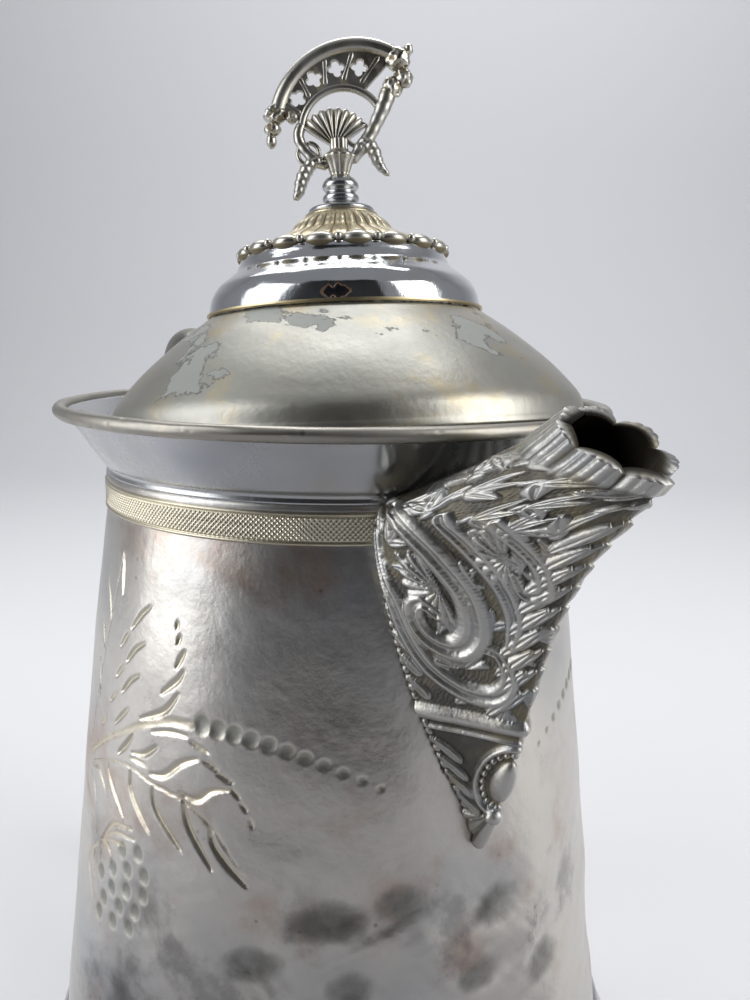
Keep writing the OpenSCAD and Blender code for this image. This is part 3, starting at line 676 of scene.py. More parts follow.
def cut_body(azimuths, heights):
    """Depth of cuts and dents (mm, inwards is negative), the cut mask, the painted shade mask of the deeper hollow
    dents and the punch tint, on the grid of angles and heights.
    """
    depth = np.zeros((len(heights), len(azimuths)))
    cut, dark, tint = np.zeros_like(depth), np.zeros_like(depth), np.zeros_like(depth)
    radius = body_radius(heights)[:, None]

    def stroke(points, half_width, deep, taper=True):
        points = np.array(points)
        for i in range(len(points) - 1):
            (a0, z0), (a1, z1) = points[i], points[i + 1]
            rows = (heights > min(z0, z1) - 2) & (heights < max(z0, z1) + 2)
            columns = (azimuths > min(a0, a1) - 3) & (azimuths < max(a0, a1) + 3)
            if not rows.any() or not columns.any():
                continue
            x = np.radians(azimuths[columns][None, :] - a0) * radius[rows]
            y = (heights[rows][:, None] - z0) * np.ones_like(x)
            dx, dy = math.radians(a1 - a0) * body_radius(z0), z1 - z0
            along = np.clip((x * dx + y * dy) / max(dx * dx + dy * dy, 1e-9), 0, 1)
            gap = np.hypot(x - along * dx, y - along * dy)
            place_on = (i + along) / (len(points) - 1)
            width = half_width * (np.sin(math.pi * np.clip(place_on * 0.94 + 0.04, 0, 1)) ** 0.6 if taper else 1.0)
            vee = np.clip(1 - gap / np.maximum(width, 0.12), 0, 1)
            grid = np.ix_(rows, columns)
            depth[grid] = np.minimum(depth[grid], -deep * vee)
            cut[grid] = np.maximum(cut[grid], np.clip(vee * 2.5, 0, 1))

    def punch(azimuth, z, half_wide, half_high, deep):
        rows = np.abs(heights - z) < half_high * 1.8
        columns = np.abs(azimuths - azimuth) < 3 * half_wide
        if not rows.any() or not columns.any():
            return
        x = np.radians(azimuths[columns][None, :] - azimuth) * radius[rows]
        y = heights[rows][:, None] - z
        gap = np.sqrt((x / half_wide) ** 2 + (y / half_high) ** 2)
        grid = np.ix_(rows, columns)
        depth[grid] = np.minimum(depth[grid], -deep * np.clip(1.1 - gap ** 2, 0, 1))
        cut[grid] = np.maximum(cut[grid], 0.25 * np.clip(1.3 - np.abs(gap - 0.95) * 5, 0, 1))
        tint[grid] = np.maximum(tint[grid], np.clip(4 - 4 * gap, 0, 1))

    for mirror in (False, True):
        turn = (lambda a: -a) if mirror else (lambda a: a)
        for points, half_width in UPRIGHT_SPRIG + DROOPING_SPRIG + SEED_CUP:
            stroke([(turn(a), z) for a, z in catmull(points, 16)], 0.75 * half_width, 0.25 + 0.25 * half_width)
        wriggle = catmull([(-92, 94), (-84, 100), (-76, 105), (-67, 110), (-61, 112), (-55.5, 112.5)], 110)
        wriggle[:, 1] += 0.75 * (-1.0) ** np.arange(110)
        stroke([(turn(a), z) for a, z in wriggle], 0.3, 0.22, False)
        for azimuth, z, half_wide, half_high, deep in berry_dots() + bead_row():
            punch(turn(azimuth), z, half_wide, half_high, deep)
    for azimuth, z, wide, high, deep in DENTS:
        x = np.radians(wrapped(azimuths - azimuth))[None, :] * radius
        y = heights[:, None] - z
        well = np.exp(-(x / wide) ** 2 - (y / high) ** 2)
        depth += deep * well
        # painted shade: the deeper hollow dents get a ragged dark mask that stands in for the shade and dark
        # reflection inside them
        if deep < -0.6:
            ragged = well + 0.22 * soft_noise(x / 5, y / 4, seed=30)
            dark = np.maximum(dark, 0.9 * ramp(ragged, 0.25, 0.95))
    angle = np.radians(azimuths)[None, :]
    rough = soft_noise(6 * np.cos(angle), 6 * np.sin(angle), heights[:, None] / 8, seed=21)
    small = soft_noise(13 * np.cos(angle), 13 * np.sin(angle), heights[:, None] / 3.6, seed=22)
    beaten = ramp(heights, 100, 62)[:, None] * ramp(heights, FOOT_H, FOOT_H + 6)[:, None]
    heavy = np.exp(-(wrapped(azimuths + 12) / 42.0) ** 2)[None, :]
    beaten = beaten * (0.55 + 0.75 * heavy)
    depth += beaten * (0.5 * rough + 0.16 * small) + 0.10 * rough * (1 - beaten)
    depth *= ramp(heights, NECK_Z - 3, NECK_Z - 9)[:, None]
    return depth, cut, dark, tint


# %% [markdown]
# ### The body's grid and strainer holes
# Columns are close together where there is engraving and further apart elsewhere. Coffee leaves the body through
# rows of small holes behind the spout. The outer and inner walls share rows and columns there, so a hole is made by
# leaving out the cells inside a circle, drawing the cells' corners onto it, and joining the two walls.

# %% Body mesh
def body_columns():
    pieces = [np.arange(-180, -116, 1.25), np.arange(-116, -14, 0.36), np.arange(-14, 14, 0.5),
              np.arange(14, 116, 0.36), np.arange(116, 180, 1.25)]
    return np.concatenate(pieces)


def body_heights():
    return np.concatenate([np.linspace(FOOT_H, 54, 34, endpoint=False), np.linspace(54, 145, 225, endpoint=False),
                           np.linspace(145, NECK_Z, 12)])


def hole_centres():
    """The strainer's holes as (angle, height), by the rule that the CAD uses."""
    return [((k + (row % 2) / 2) * 5.4 - (row % 2) * 2.7, BAND_Z0 - 44 + row * 6.4)
            for row in range(6) for k in range(-(1 + row // 3), 2 + row // 3)]


def make_body():
    azimuths, heights = body_columns(), body_heights()
    depth, cut, dark, tint = cut_body(azimuths, heights)
    angle = np.radians(azimuths)
    angles = np.repeat(angle[None, :], len(heights), 0)
    levels = np.repeat(heights[:, None], len(azimuths), 1)
    gone = np.zeros((len(heights), len(azimuths)), bool)
    for hole_azimuth, hole_z in hole_centres():
        r = body_radius(hole_z)
        x = (angles - math.radians(hole_azimuth)) * r
        y = levels - hole_z
        gap = np.hypot(x, y)
        near = gap < 1.95
        gone |= near
        pull = np.where(gap > 1.0, 1.6 / np.maximum(gap, 1e-6), 1)
        angles = angles + np.where(near, x * (pull - 1) / r, 0)
        levels = levels + np.where(near, y * (pull - 1), 0)
    sheets = []
    for inset, push in ((0.02, depth), (WALL, depth * 0.9)):
        r = body_radius(levels) - inset + push
        sheets.append(np.stack([r * np.cos(angles), r * np.sin(angles), levels], -1))
    full = gone & np.roll(gone, -1, 1) & np.roll(gone, -1, 0) & np.roll(gone, (-1, -1), (0, 1))
    mesh = pierced_mesh("body_sheet", sheets[0], sheets[1], full)
    paint(mesh, "cut", np.concatenate([cut, cut * 0]))
    # the dark mask is painted shade for the deeper hollow dents
    paint(mesh, "dark", np.concatenate([dark, dark * 0]))
    paint(mesh, "tint", np.concatenate([tint, tint * 0]))
    paint(mesh, "inside", np.concatenate([np.zeros_like(cut), np.ones_like(cut)]))
    return mesh


def body_material():
    material, tree, shader = new_material("engraved satin plate")
    where = place_vector(tree)
    clouds = use(tree, TARNISH, Vector=where, Plate=(0.60, 0.575, 0.53), Cool=(0.44, 0.46, 0.48),
                 Warm=(0.44, 0.33, 0.27), Scale=16.0, Cool_Amount=0.75, Warm_Amount=0.85)
    speck = use(tree, SPECKS, Vector=where, Scale=420.0, Amount=0.85)["Speck"]
    scratch = use(tree, HAZE, Vector=where)["Haze"]
    height = tree.nodes.new("ShaderNodeSeparateXYZ")
    tree.links.new(where, height.inputs["Vector"])
    # dark noise blotches, at full strength below about 50 mm and at 0.3 above about 98 mm: partly tarnish, partly
    # painted dark reflection that darkens the lower body
    blotch_and_painted_dark_reflection = stretch(tree, noise(tree, where, 38.0, 5.0, 0.62), 0.53, 0.66)
    low = stretch(tree, height.outputs["Z"], 0.098, 0.05)
    blotch_and_painted_dark_reflection = sums(tree, "MULTIPLY", blotch_and_painted_dark_reflection, sums(tree, "ADD", low, 0.3, True))
    cut = attribute(tree, "cut")
    colour = mixed(tree, sums(tree, "MULTIPLY", blotch_and_painted_dark_reflection, 0.55), clouds["Color"], (0.14, 0.135, 0.13))
    colour = mixed(tree, speck, colour, (0.06, 0.06, 0.06))
    # painted shade: the dents' dark mask, broken up by noise, darkens the colour where the deeper hollow dents would
    # be in shade and mirror dark
    dark = attribute(tree, "dark")
    torn = sums(tree, "ADD", dark, sums(tree, "MULTIPLY", noise(tree, where, 75.0, 6.0, 0.65), 1.5))
    painted_dent_shade = sums(tree, "MULTIPLY", stretch(tree, torn, 0.85, 2.0), stretch(tree, dark, 0.02, 0.5))
    colour = mixed(tree, sums(tree, "MULTIPLY", painted_dent_shade, 0.8), colour, (0.10, 0.10, 0.09))
    tint = attribute(tree, "tint")
    colour = mixed(tree, sums(tree, "MULTIPLY", tint, 0.7), colour, (0.27, 0.28, 0.24))
    colour = mixed(tree, sums(tree, "MULTIPLY", cut, 0.55), colour, (0.74, 0.66, 0.47))
    colour = mixed(tree, sums(tree, "MULTIPLY", attribute(tree, "inside"), 0.6), colour, (0.22, 0.19, 0.15))
    rubbed = sums(tree, "ADD", clouds["Cloud"], sums(tree, "MULTIPLY", scratch, 0.5))
    gloss = stretch(tree, rubbed, 0.5, 1.0, 0.27, 0.42)
    gloss = sums(tree, "SUBTRACT", gloss, sums(tree, "MULTIPLY", blotch_and_painted_dark_reflection, 0.08), True)
    tree.links.new(colour, shader.inputs["Base Color"])
    gloss = sums(tree, "ADD", gloss, sums(tree, "MULTIPLY", tint, 0.12), True)
    tree.links.new(gloss, shader.inputs["Roughness"])
    fine = sums(tree, "ADD", sums(tree, "MULTIPLY", scratch, 0.12), noise(tree, where, 130.0, 4.0, 0.6))
    add_bump(tree, shader, fine, 0.00022)
    return material


body_sheet = place(make_body(), "pot", body_material(), ["body_shell"])
print("body sheet:", len(body_sheet.data.vertices), "points")

# %% [markdown]
# ## Neck, gallery, rim and band
# The gallery is a spun bowl soldered on top of the neck. Its profile is a smooth curve through a few heights.
# The rim is a wire under a rolled edge, worn to its base metal and pitted, so its small pits are real geometry.
# The band is rolled strip with a diamond knurl between two plain edges.

# %% Gallery and rim
ROUND = 720


def gallery_profile(inset):
    drop, flare = RIM_Z - NECK_Z, RIM_R - NECK_R
    shares = [(0, 0), (-0.02, 0.1), (0.1, 0.19), (0.35, 0.43), (0.58, 0.67), (0.8, 0.87), (0.96, 1.0)]
    return catmull([(NECK_R + s * flare - inset, NECK_Z + t * drop) for s, t in shares], 40)


def make_gallery():
    outer, inner = gallery_profile(0.0), gallery_profile(WALL)[::-1]
    grid = turned(np.vstack([outer, inner]), around(ROUND))
    angles = around(ROUND)[None, :]
    ripple = 0.10 * soft_noise(2.2 * np.cos(angles), 2.2 * np.sin(angles), grid[:, :, 2] / 9, seed=3)
    grid[:, :, :2] *= (1 - np.abs(ripple) / NECK_R)[:, :, None]
    return grid_mesh("gallery_bowl", grid, wrap_rows=True)


def make_rim():
    """A torus with shallow dings and small pits."""
    angles = around(1080)
    turns = np.linspace(0, 2 * math.pi, 28, endpoint=False)[:, None]
    pits = np.clip(soft_noise(60 * np.cos(angles), 60 * np.sin(angles), 4 * turns, seed=5) - 0.75, 0, 1)
    wave = 0.10 * soft_noise(5 * np.cos(angles), 5 * np.sin(angles), turns, seed=6)
    r = RIM_WIRE_R - 0.04 - 0.22 * pits - np.abs(wave)
    out = RIM_R + r * np.cos(turns)
    grid = np.stack([out * np.cos(angles), out * np.sin(angles), RIM_Z + r * np.sin(turns)], -1)
    mesh = grid_mesh("rolled_rim", grid, wrap_rows=True)
    paint(mesh, "relief", 1 - np.clip(pits * 3, 0, 1))
    return mesh


place(make_gallery(), "pot", silver_gallery, ["gallery"])
place(make_rim(), "pot", brass_rim, ["rim_wire"])


# %% Knurled band
def make_band():
    """Diamond knurling: two sets of slanting grooves that cross, between two plain raised edges."""
    angles = around(2640)
    profile = np.linspace(BAND_Z0, BAND_Z1, 48)[:, None]
    height = BAND_Z1 - BAND_Z0
    edge = np.minimum(profile - BAND_Z0, BAND_Z1 - profile)
    teeth = 330
    up = teeth * (profile - BAND_Z0) / NECK_R
    one, two = np.abs(np.sin(0.5 * (teeth * angles + up))), np.abs(np.sin(0.5 * (teeth * angles - up)))
    diamond = np.minimum(one, two) ** 0.7
    field = ramp(edge, 0.9, 1.15)
    border = bump(edge - 0.45, 0.45)
    lift = 0.05 + 0.45 * border + field * (0.1 + 0.34 * diamond)
    worn = 1 - 0.35 * ramp(soft_noise(3 * np.cos(angles), 3 * np.sin(angles), profile / height, seed=8), 0.1, 0.8)
    r = NECK_R + np.minimum(lift * worn, BAND_R - NECK_R)
    front = np.stack([r * np.cos(angles), r * np.sin(angles), profile + 0 * angles], -1)
    inner = front.copy()
    inner[:, :, 0], inner[:, :, 1] = (NECK_R - 0.3) * np.cos(angles), (NECK_R - 0.3) * np.sin(angles)
    mesh = pierced_mesh("diamond_band", front, inner, np.zeros(front.shape[:2], bool))
    low = np.where(field > 0.5, 0.25 + 0.9 * diamond, 0.3 + 0.8 * border)
    paint(mesh, "relief", np.concatenate([np.clip(low, 0, 1), low * 0]))
    return mesh


place(make_band(), "pot", gilt_band, ["knurled_band"])

# %% [markdown]
# ## The lid
# The lid is spun in two steps: a dull lower dome and a bright crown. They are drawn level and then carried to where
# the worn hinge holds them. The dome's plating has flaked into irregular grey islands, so its material has a
# mask with sharp, dark-edged shores. Fine wrinkles near the front are orange peel from a bad polish.

# %% Lid profiles
def dome_profile():
    low, high = (LID_R - 1.2, LID_EDGE_Z + 5.2), (CROWN_R + 0.6, CROWN_Z - 0.6)
    slope = [(0.11, 0.165), (0.3, 0.39), (0.515, 0.6), (0.73, 0.79), (0.91, 0.93)]
    middle = [(low[0] + s * (high[0] - low[0]), low[1] + t * (high[1] - low[1])) for s, t in slope]
    edge = [(LID_R, LID_EDGE_Z), (LID_R + 0.25, LID_EDGE_Z + 0.8), (LID_R - 0.3, LID_EDGE_Z + 1.7)]
    return edge, catmull([(LID_R - 0.3, LID_EDGE_Z + 1.7), low, *middle, high, (CROWN_R - 1, CROWN_Z - 0.05)], 90)


# where the plate has flaked: azimuth, distance from the axis, half width, half length, strength
FLAKES = [(-69, 50, 5, 3, 1.0), (-17, 41, 7, 3, 1.0), (-24, 36, 4, 2.5, 0.9), (15, 40, 8, 3.5, 0.9),
          (-42, 38, 9, 3, 0.9), (-54, 36, 6, 3, 0.8), (-33, 34, 8, 2, 0.9), (30, 36, 6, 3, 0.8), (-82, 38, 7, 4, 0.9),
          (120, 42, 10, 5, 1.0), (170, 38, 8, 4, 0.9), (-130, 46, 7, 3, 0.8), (75, 50, 6, 3, 0.8)]


def make_dome():
    edge, curve = dome_profile()
    outer = np.vstack([edge[:2], curve])
    inner = (outer - np.array([0.9, 1.1]))[::-1]
    inner[:, 0] = np.maximum(inner[:, 0], CROWN_R - 3)
    inner[:, 1] = np.maximum(inner[:, 1], LID_EDGE_Z)
    grid = turned(np.vstack([outer, inner]), around(ROUND))
    angles = around(ROUND)[None, :]
    radius = np.hypot(grid[:, :, 0], grid[:, :, 1])
    wave = 0.12 * soft_noise(3 * np.cos(angles), 3 * np.sin(angles), radius / 12, seed=11)
    grid[:, :, 2] -= np.abs(wave) * ramp(radius, LID_R, LID_R - 4)
    mesh = grid_mesh("lid_dome_sheet", grid, wrap_rows=True)
    flake = np.zeros(radius.shape)
    for azimuth, at, wide, long, full in FLAKES:
        x = np.radians(wrapped(np.degrees(angles) - azimuth)) * at
        flake = np.maximum(flake, full * np.exp(-(x / wide) ** 2 - ((radius - at) / long) ** 2))
    paint(mesh, "flake", flake)
    return mesh


def crown_profile():
    shares = [(1, 0), (1.0, 1.2), (0.992, 3), (0.975, 4.6), (0.93, 6.8), (0.86, 8.6), (0.80, 10.2), (0.775, 11.6),
              (0.76, 12.8), (0.745, 13.5), (0.69, 14.15)]
    return catmull([(s * CROWN_R, CROWN_Z + h) for s, h in shares], 80)


TEAR = (-31, 2.0)


def make_crown():
    """The bright crown, with a small tear whose lip is bent out."""
    outer = crown_profile()
    inner = np.maximum(outer - np.array([1.2, 0.6]), (3, CROWN_Z))[::-1]
    angles = around(ROUND)
    grid = turned(np.vstack([outer, inner]), angles)
    across = np.radians(wrapped(np.degrees(angles) - TEAR[0]))[None, :] * CROWN_R
    up = grid[:, :, 2] - CROWN_Z - TEAR[1]
    ragged = 1 + 0.25 * np.sin(across * 2.1) + 0.2 * np.sin(across * 3.7 + 1)
    near = np.hypot(across / 2.6, up / (1.15 * ragged))
    torn = np.clip(1.15 - near, 0, 1) ** 0.5 * (near < 1.15)
    grid[:, :, :2] *= (1 - 0.5 * torn / CROWN_R)[:, :, None]
    mesh = grid_mesh("lid_crown_sheet", grid, wrap_rows=True)
    paint(mesh, "tear", np.clip(1.6 - near, 0, 1))
    return mesh


def crown_material():
    material, tree, shader = new_material("bright torn plate")
    where = place_vector(tree)
    clouds = use(tree, TARNISH, Vector=where, Plate=(0.62, 0.635, 0.65), Cool=(0.50, 0.53, 0.58),
                 Warm=(0.56, 0.52, 0.44), Scale=40.0, Cool_Amount=0.4, Warm_Amount=0.35)
    speck = use(tree, SPECKS, Vector=where, Scale=380.0, Amount=0.35)["Speck"]
    scratch = use(tree, HAZE, Vector=where)["Haze"]
    tear = attribute(tree, "tear")
    wobble = sums(tree, "ADD", tear, sums(tree, "MULTIPLY", noise(tree, where, 500.0, 3.0), 0.3))
    lip = stretch(tree, wobble, 0.35, 0.6)
    # painted shade: the middle of the tear is painted near black for the dark inside of the lid seen through it; the
    # mesh is only pushed in, not opened
    painted_hole_shade = stretch(tree, wobble, 0.68, 0.78)
    colour = mixed(tree, speck, clouds["Color"], (0.06, 0.06, 0.06))
    colour = mixed(tree, lip, colour, (0.30, 0.19, 0.13))
    colour = mixed(tree, painted_hole_shade, colour, (0.03, 0.03, 0.035))
    tree.links.new(colour, shader.inputs["Base Color"])
    gloss = stretch(tree, clouds["Cloud"], 0.35, 0.7, 0.07, 0.17)
    tree.links.new(sums(tree, "ADD", gloss, sums(tree, "MULTIPLY", lip, 0.4), True), shader.inputs["Roughness"])
    fine = sums(tree, "ADD", sums(tree, "MULTIPLY", scratch, 0.2), noise(tree, where, 60.0, 4.0))
    add_bump(tree, shader, fine, 0.00025)
    return material


def dome_material():
    """Worn plate with grey islands where it has flaked away. Each island's shore is dark."""
    material, tree, shader = new_material("flaked lid plate")
    where = place_vector(tree)
    clouds = use(tree, TARNISH, Vector=where, Plate=(0.47, 0.455, 0.40), Cool=(0.34, 0.345, 0.32),
                 Warm=(0.52, 0.44, 0.28), Scale=30.0, Cool_Amount=0.6, Warm_Amount=0.8)
    scratch = use(tree, HAZE, Vector=where)["Haze"]
    speck = use(tree, SPECKS, Vector=where, Scale=420.0, Amount=0.45)["Speck"]
    shore = noise(tree, where, 62.0, 6.0, 0.62, 0.4)
    shore = sums(tree, "ADD", shore, sums(tree, "MULTIPLY", attribute(tree, "flake"), 0.155))
    island = stretch(tree, shore, 0.62, 0.63)
    edge = sums(tree, "MULTIPLY", stretch(tree, shore, 0.605, 0.621), stretch(tree, shore, 0.637, 0.627))
    colour = mixed(tree, speck, clouds["Color"], (0.08, 0.08, 0.07))
    colour = mixed(tree, island, colour, (0.40, 0.41, 0.385))
    colour = mixed(tree, sums(tree, "MULTIPLY", edge, 0.6), colour, (0.10, 0.10, 0.09))
    rubbed = sums(tree, "ADD", clouds["Cloud"], sums(tree, "MULTIPLY", scratch, 0.4))
    gloss = stretch(tree, rubbed, 0.5, 1.0, 0.32, 0.48)
    tree.links.new(colour, shader.inputs["Base Color"])
    tree.links.new(sums(tree, "ADD", gloss, sums(tree, "MULTIPLY", island, 0.25), True), shader.inputs["Roughness"])
    peel = noise(tree, where, 700.0, 3.0, 0.5)
    wide = noise(tree, where, 90.0, 4.0, 0.5)
    fine = sums(tree, "ADD", sums(tree, "MULTIPLY", peel, 0.22), sums(tree, "MULTIPLY", wide, 0.6))
    fine = sums(tree, "SUBTRACT", fine, sums(tree, "MULTIPLY", island, 0.1))
    add_bump(tree, shader, fine, 0.00022)
    return material


place(make_dome(), "lid", dome_material(), ["lid_dome"], on_lid=True)
place(make_crown(), "lid", crown_material(), ["lid_crown"], on_lid=True)

# %% [markdown]
# ### The crown's ornament
# A ring of cast oval bosses with a bead between each pair stands on the crown, and a fluted bell, washed in gold,
# rises inside it to carry the turned disc and cup.

# %% Bosses, bell, disc and cup
CROWN_TOP = CROWN_Z + 14.2
BOSS_RING_R = CROWN_R * 0.70
BELL_TOP = CROWN_TOP + 9.4
DISC_TOP = BELL_TOP + 2.2
CUP_TOP = DISC_TOP + 6.2


def joined(name, meshes):
    """One mesh from several, with their relief attribute kept."""
    points, faces, relief, start = [], [], [], 0
    for mesh in meshes:
        count = len(mesh.vertices)
        at = np.empty(count * 3, np.float32)
        mesh.vertices.foreach_get("co", at)
        points.append(at.reshape(-1, 3))
        faces += [[start + v for v in polygon.vertices] for polygon in mesh.polygons]
        value = np.ones(count, np.float32)
        if "relief" in mesh.attributes:
            mesh.attributes["relief"].data.foreach_get("value", value)
        relief.append(value)
        start += count
    whole = bpy.data.meshes.new(name)
    whole.from_pydata(np.concatenate(points).tolist(), [], faces)
    whole.update()
    whole.polygons.foreach_set("use_smooth", [True] * len(whole.polygons))
    paint(whole, "relief", np.concatenate(relief))
    return whole


def ball(at, radii, turn=0.0, detail=(14, 20)):
    """An ellipsoid as a closed grid, turned about Z."""
    polar = np.linspace(0.02, math.pi - 0.02, detail[0])[:, None]
    angle = np.linspace(0, 2 * math.pi, detail[1], endpoint=False)[None, :]
    x, y = radii[0] * np.sin(polar) * np.cos(angle), radii[1] * np.sin(polar) * np.sin(angle)
    z = radii[2] * np.cos(polar) + 0 * angle
    c, s = math.cos(turn), math.sin(turn)
    grid = np.stack([at[0] + c * x - s * y, at[1] + s * x + c * y, at[2] + z], -1)
    return grid_mesh("ball", grid[::-1], caps=True)


def make_bosses():
    parts = []
    count = 18
    ring = catmull([(BOSS_RING_R - 2.0, CROWN_TOP - 0.4), (BOSS_RING_R - 2.0, CROWN_TOP + 0.5),
                    (BOSS_RING_R - 0.6, CROWN_TOP + 0.5), (BOSS_RING_R + 0.8, CROWN_TOP + 0.3),
                    (BOSS_RING_R + 1.1, CROWN_TOP - 0.4)], 16)
    mesh = grid_mesh("ring", turned(ring, around(360)))
    paint(mesh, "relief", np.full(len(mesh.vertices), 0.15))
    parts.append(mesh)
    for k in range(count):
        angle = 2 * math.pi * k / count
        r = BOSS_RING_R + 0.2
        parts.append(ball((r * math.cos(angle), r * math.sin(angle), CROWN_TOP - 0.1), (2.7, 3.5, 1.8), angle))
        angle += math.pi / count
        for r, size in ((BOSS_RING_R + 1.9, 0.9), (BOSS_RING_R - 2.2, 0.8)):
            at = (r * math.cos(angle), r * math.sin(angle), CROWN_TOP + 0.3)
            parts.append(ball(at, (size,) * 3, angle, (8, 10)))
    for mesh in parts[1:]:
        z = np.array([v.co.z for v in mesh.vertices]) / MM
        paint(mesh, "relief", ramp(z, CROWN_TOP - 0.9, CROWN_TOP + 0.5))
    return joined("boss_ring", parts)


def make_bell():
    """A bell whose flutes are deepest half-way up and die out at both ends."""
    r0 = BOSS_RING_R - 3.0
    profile = catmull([(r0, CROWN_TOP - 0.4), (r0 + 0.1, CROWN_TOP + 0.9), (r0 - 1.6, CROWN_TOP + 2.8),
                       (13, CROWN_TOP + 5), (11, CROWN_TOP + 7.2), (8.6, BELL_TOP - 0.4),
                       (8.2, BELL_TOP), (3, BELL_TOP)], 70)
    angles = around(720)
    grid = turned(profile, angles)
    share = (grid[:, :, 2] - CROWN_TOP) / (BELL_TOP - CROWN_TOP)
    flute = np.abs(np.sin(15 * angles))[None, :] ** 0.8
    strength = ramp(share, 0.05, 0.2) * ramp(share, 0.99, 0.8)
    radius = np.hypot(grid[:, :, 0], grid[:, :, 1])
    grid[:, :, :2] *= (1 - 0.55 * (1 - flute) * strength / radius)[:, :, None]
    mesh = grid_mesh("fluted_bell", grid, caps=True)
    paint(mesh, "relief", np.clip(1 - strength * (1 - flute) * 1.1, 0, 1))
    return mesh


def make_disc():
    profile = catmull([(3, BELL_TOP), (6.8, BELL_TOP + 0.05), (7.6, BELL_TOP + 0.5), (7.7, BELL_TOP + 1.1),
                       (7.1, BELL_TOP + 1.6), (5.4, DISC_TOP - 0.25), (4.6, DISC_TOP), (2, DISC_TOP)], 40)
    return grid_mesh("turned_disc", turned(profile, around(180)), caps=True)


def make_cup():
    mid = (DISC_TOP + CUP_TOP) / 2
    profile = catmull([(2, DISC_TOP), (3.4, DISC_TOP + 0.1), (4.2, mid - 1.9), (4.2, mid - 1.0), (3.5, mid - 0.1),
                       (4.2, mid + 0.9), (4.25, mid + 1.8), (3.6, CUP_TOP - 0.3), (3.2, CUP_TOP), (2, CUP_TOP)], 60)
    return grid_mesh("turned_cup", turned(profile, around(180)), caps=True)


place(make_bosses(), "lid", cast_silver, ["boss_band"], on_lid=True)
place(make_bell(), "lid", gilt_wash, ["finial_bell"], on_lid=True)
place(make_disc(), "lid", silver_gallery, ["finial_disc"], on_lid=True)
place(make_cup(), "lid", silver_gallery, ["finial_cup"], on_lid=True)

# %% [markdown]
# ## The spout
# The spout is one casting, a shield that folds out of the body into a scalloped mouth, and all of it is relief:
# big scrolls, ribbed shells, leaves and beads on a stippled ground. Its skin is a grid stretched over the casting's
# sections. The relief is a height field drawn on the skin in millimetres, across from the keel's edge and up,
# and the height moves each point along its normal. The same field is kept as an attribute, so dirt can sit in it.

# %% Spout sections
# back [out from the neck, up from the rim], nose [share of the reach, up from the rim], half width share, roundness
# These rows are measured values too: a scratch script worked out their shares.
SPOUT_PLAN = [
    (-5, -86.5, -0.011, -86.5, 0.071, 0), (-5, -83, 0.065, -83, 0.19, 0), (-5, -76, 0.16, -75, 0.381, 0),
    (-5, -66, 0.261, -64.5, 0.548, 0), (-5, -55, 0.364, -52, 0.667, 0), (-5, -44, 0.442, -42, 0.762, 0),
    (-5, -33, 0.532, -32.5, 0.867, 0), (-5, -24, 0.637, -24, 0.952, 0.05), (-4, -15.6, 0.736, -17, 1, 0.15),
    (2, -11, 0.822, -12, 0.876, 0.4), (11, -5.6, 0.899, -8, 0.667, 0.7), (22, 1, 0.963, -5.4, 0.505, 0.9),
    (29.6, 6.4, 1, -3.6, 0.448, 1)]
KEEL = [(0, 1), (0.12, 1), (0.24, 1), (0.42, 0.82), (0.58, 0.6), (0.74, 0.4), (0.88, 0.24), (0.97, 0.1)]
OVAL = [(0, 0.24), (0.04, 0.5), (0.14, 0.8), (0.3, 0.98), (0.5, 1), (0.7, 0.82), (0.87, 0.52), (0.97, 0.2)]
SHIELD_HALF_W = 21
SPOUT_REACH = 51.6
SIDE_COLUMNS = 481
BACK_COLUMNS = 60
SPOUT_COLUMNS = SIDE_COLUMNS + BACK_COLUMNS


def spout_section(row, inset):
    """One closed ring: back left, round the nose, back right. inset draws it in by the casting's thickness."""
    back = np.array([NECK_R + row[0], RIM_Z + row[1]])
    nose = np.array([body_radius(RIM_Z + row[3]) + row[2] * SPOUT_REACH, RIM_Z + row[3]])
    depth = np.linalg.norm(nose - back)
    way = (nose - back) / depth
    half = []
    for keel, oval in zip(KEEL, OVAL):
        share, width = (k * (1 - row[5]) + o * row[5] for k, o in zip(keel, oval))
        half.append((inset * row[5] + share * (depth - inset * (1.35 + row[5])),
                     max(0.3, width * row[4] * SHIELD_HALF_W - inset)))
    points = [(back[0] + way[0] * d, -w, back[1] + way[1] * d) for d, w in half]
    points += [(x, -y, z) for x, y, z in points[::-1]]
    return points


def spout_ring(row, inset):
    """Even columns round both sides of a section, the nose in the middle, then a short stretch across its back."""
    section = spout_section(row, inset)
    sides = catmull(section, SIDE_COLUMNS)
    share = np.linspace(0, 1, BACK_COLUMNS + 2)[1:-1, None]
    swell = row[5] * 0.8 * np.sin(math.pi * share)
    back = sides[-1] + (sides[0] - sides[-1]) * share + swell * np.array([-0.6, 0, 0.8])
    return np.vstack([sides, back])


def spout_grid(inset, rows, from_row=0):
    rings = np.array([spout_ring(row, inset) for row in SPOUT_PLAN[from_row:]])
    at = np.linspace(0, len(rings) - 1, rows)
    flat = rings.reshape(len(rings), -1)
    i = np.clip(at.astype(int), 0, len(rings) - 2)
    u = (at - i)[:, None]
    before, after = flat[np.maximum(i - 1, 0)], flat[np.minimum(i + 2, len(rings) - 1)]
    a, b = flat[i], flat[i + 1]
    smooth = 0.5 * (2 * a + (b - before) * u + (2 * before - 5 * a + 4 * b - after) * u * u
                    + (3 * a - before - 3 * b + after) * u ** 3)
    return smooth.reshape(rows, SPOUT_COLUMNS, 3)


def pot_outside(z):
    """The pot's outer radius at height z, up to the rim."""
    profile = gallery_profile(0.0)
    return np.where(z < NECK_Z, body_radius(z), np.interp(z, profile[:, 1], profile[:, 0]))


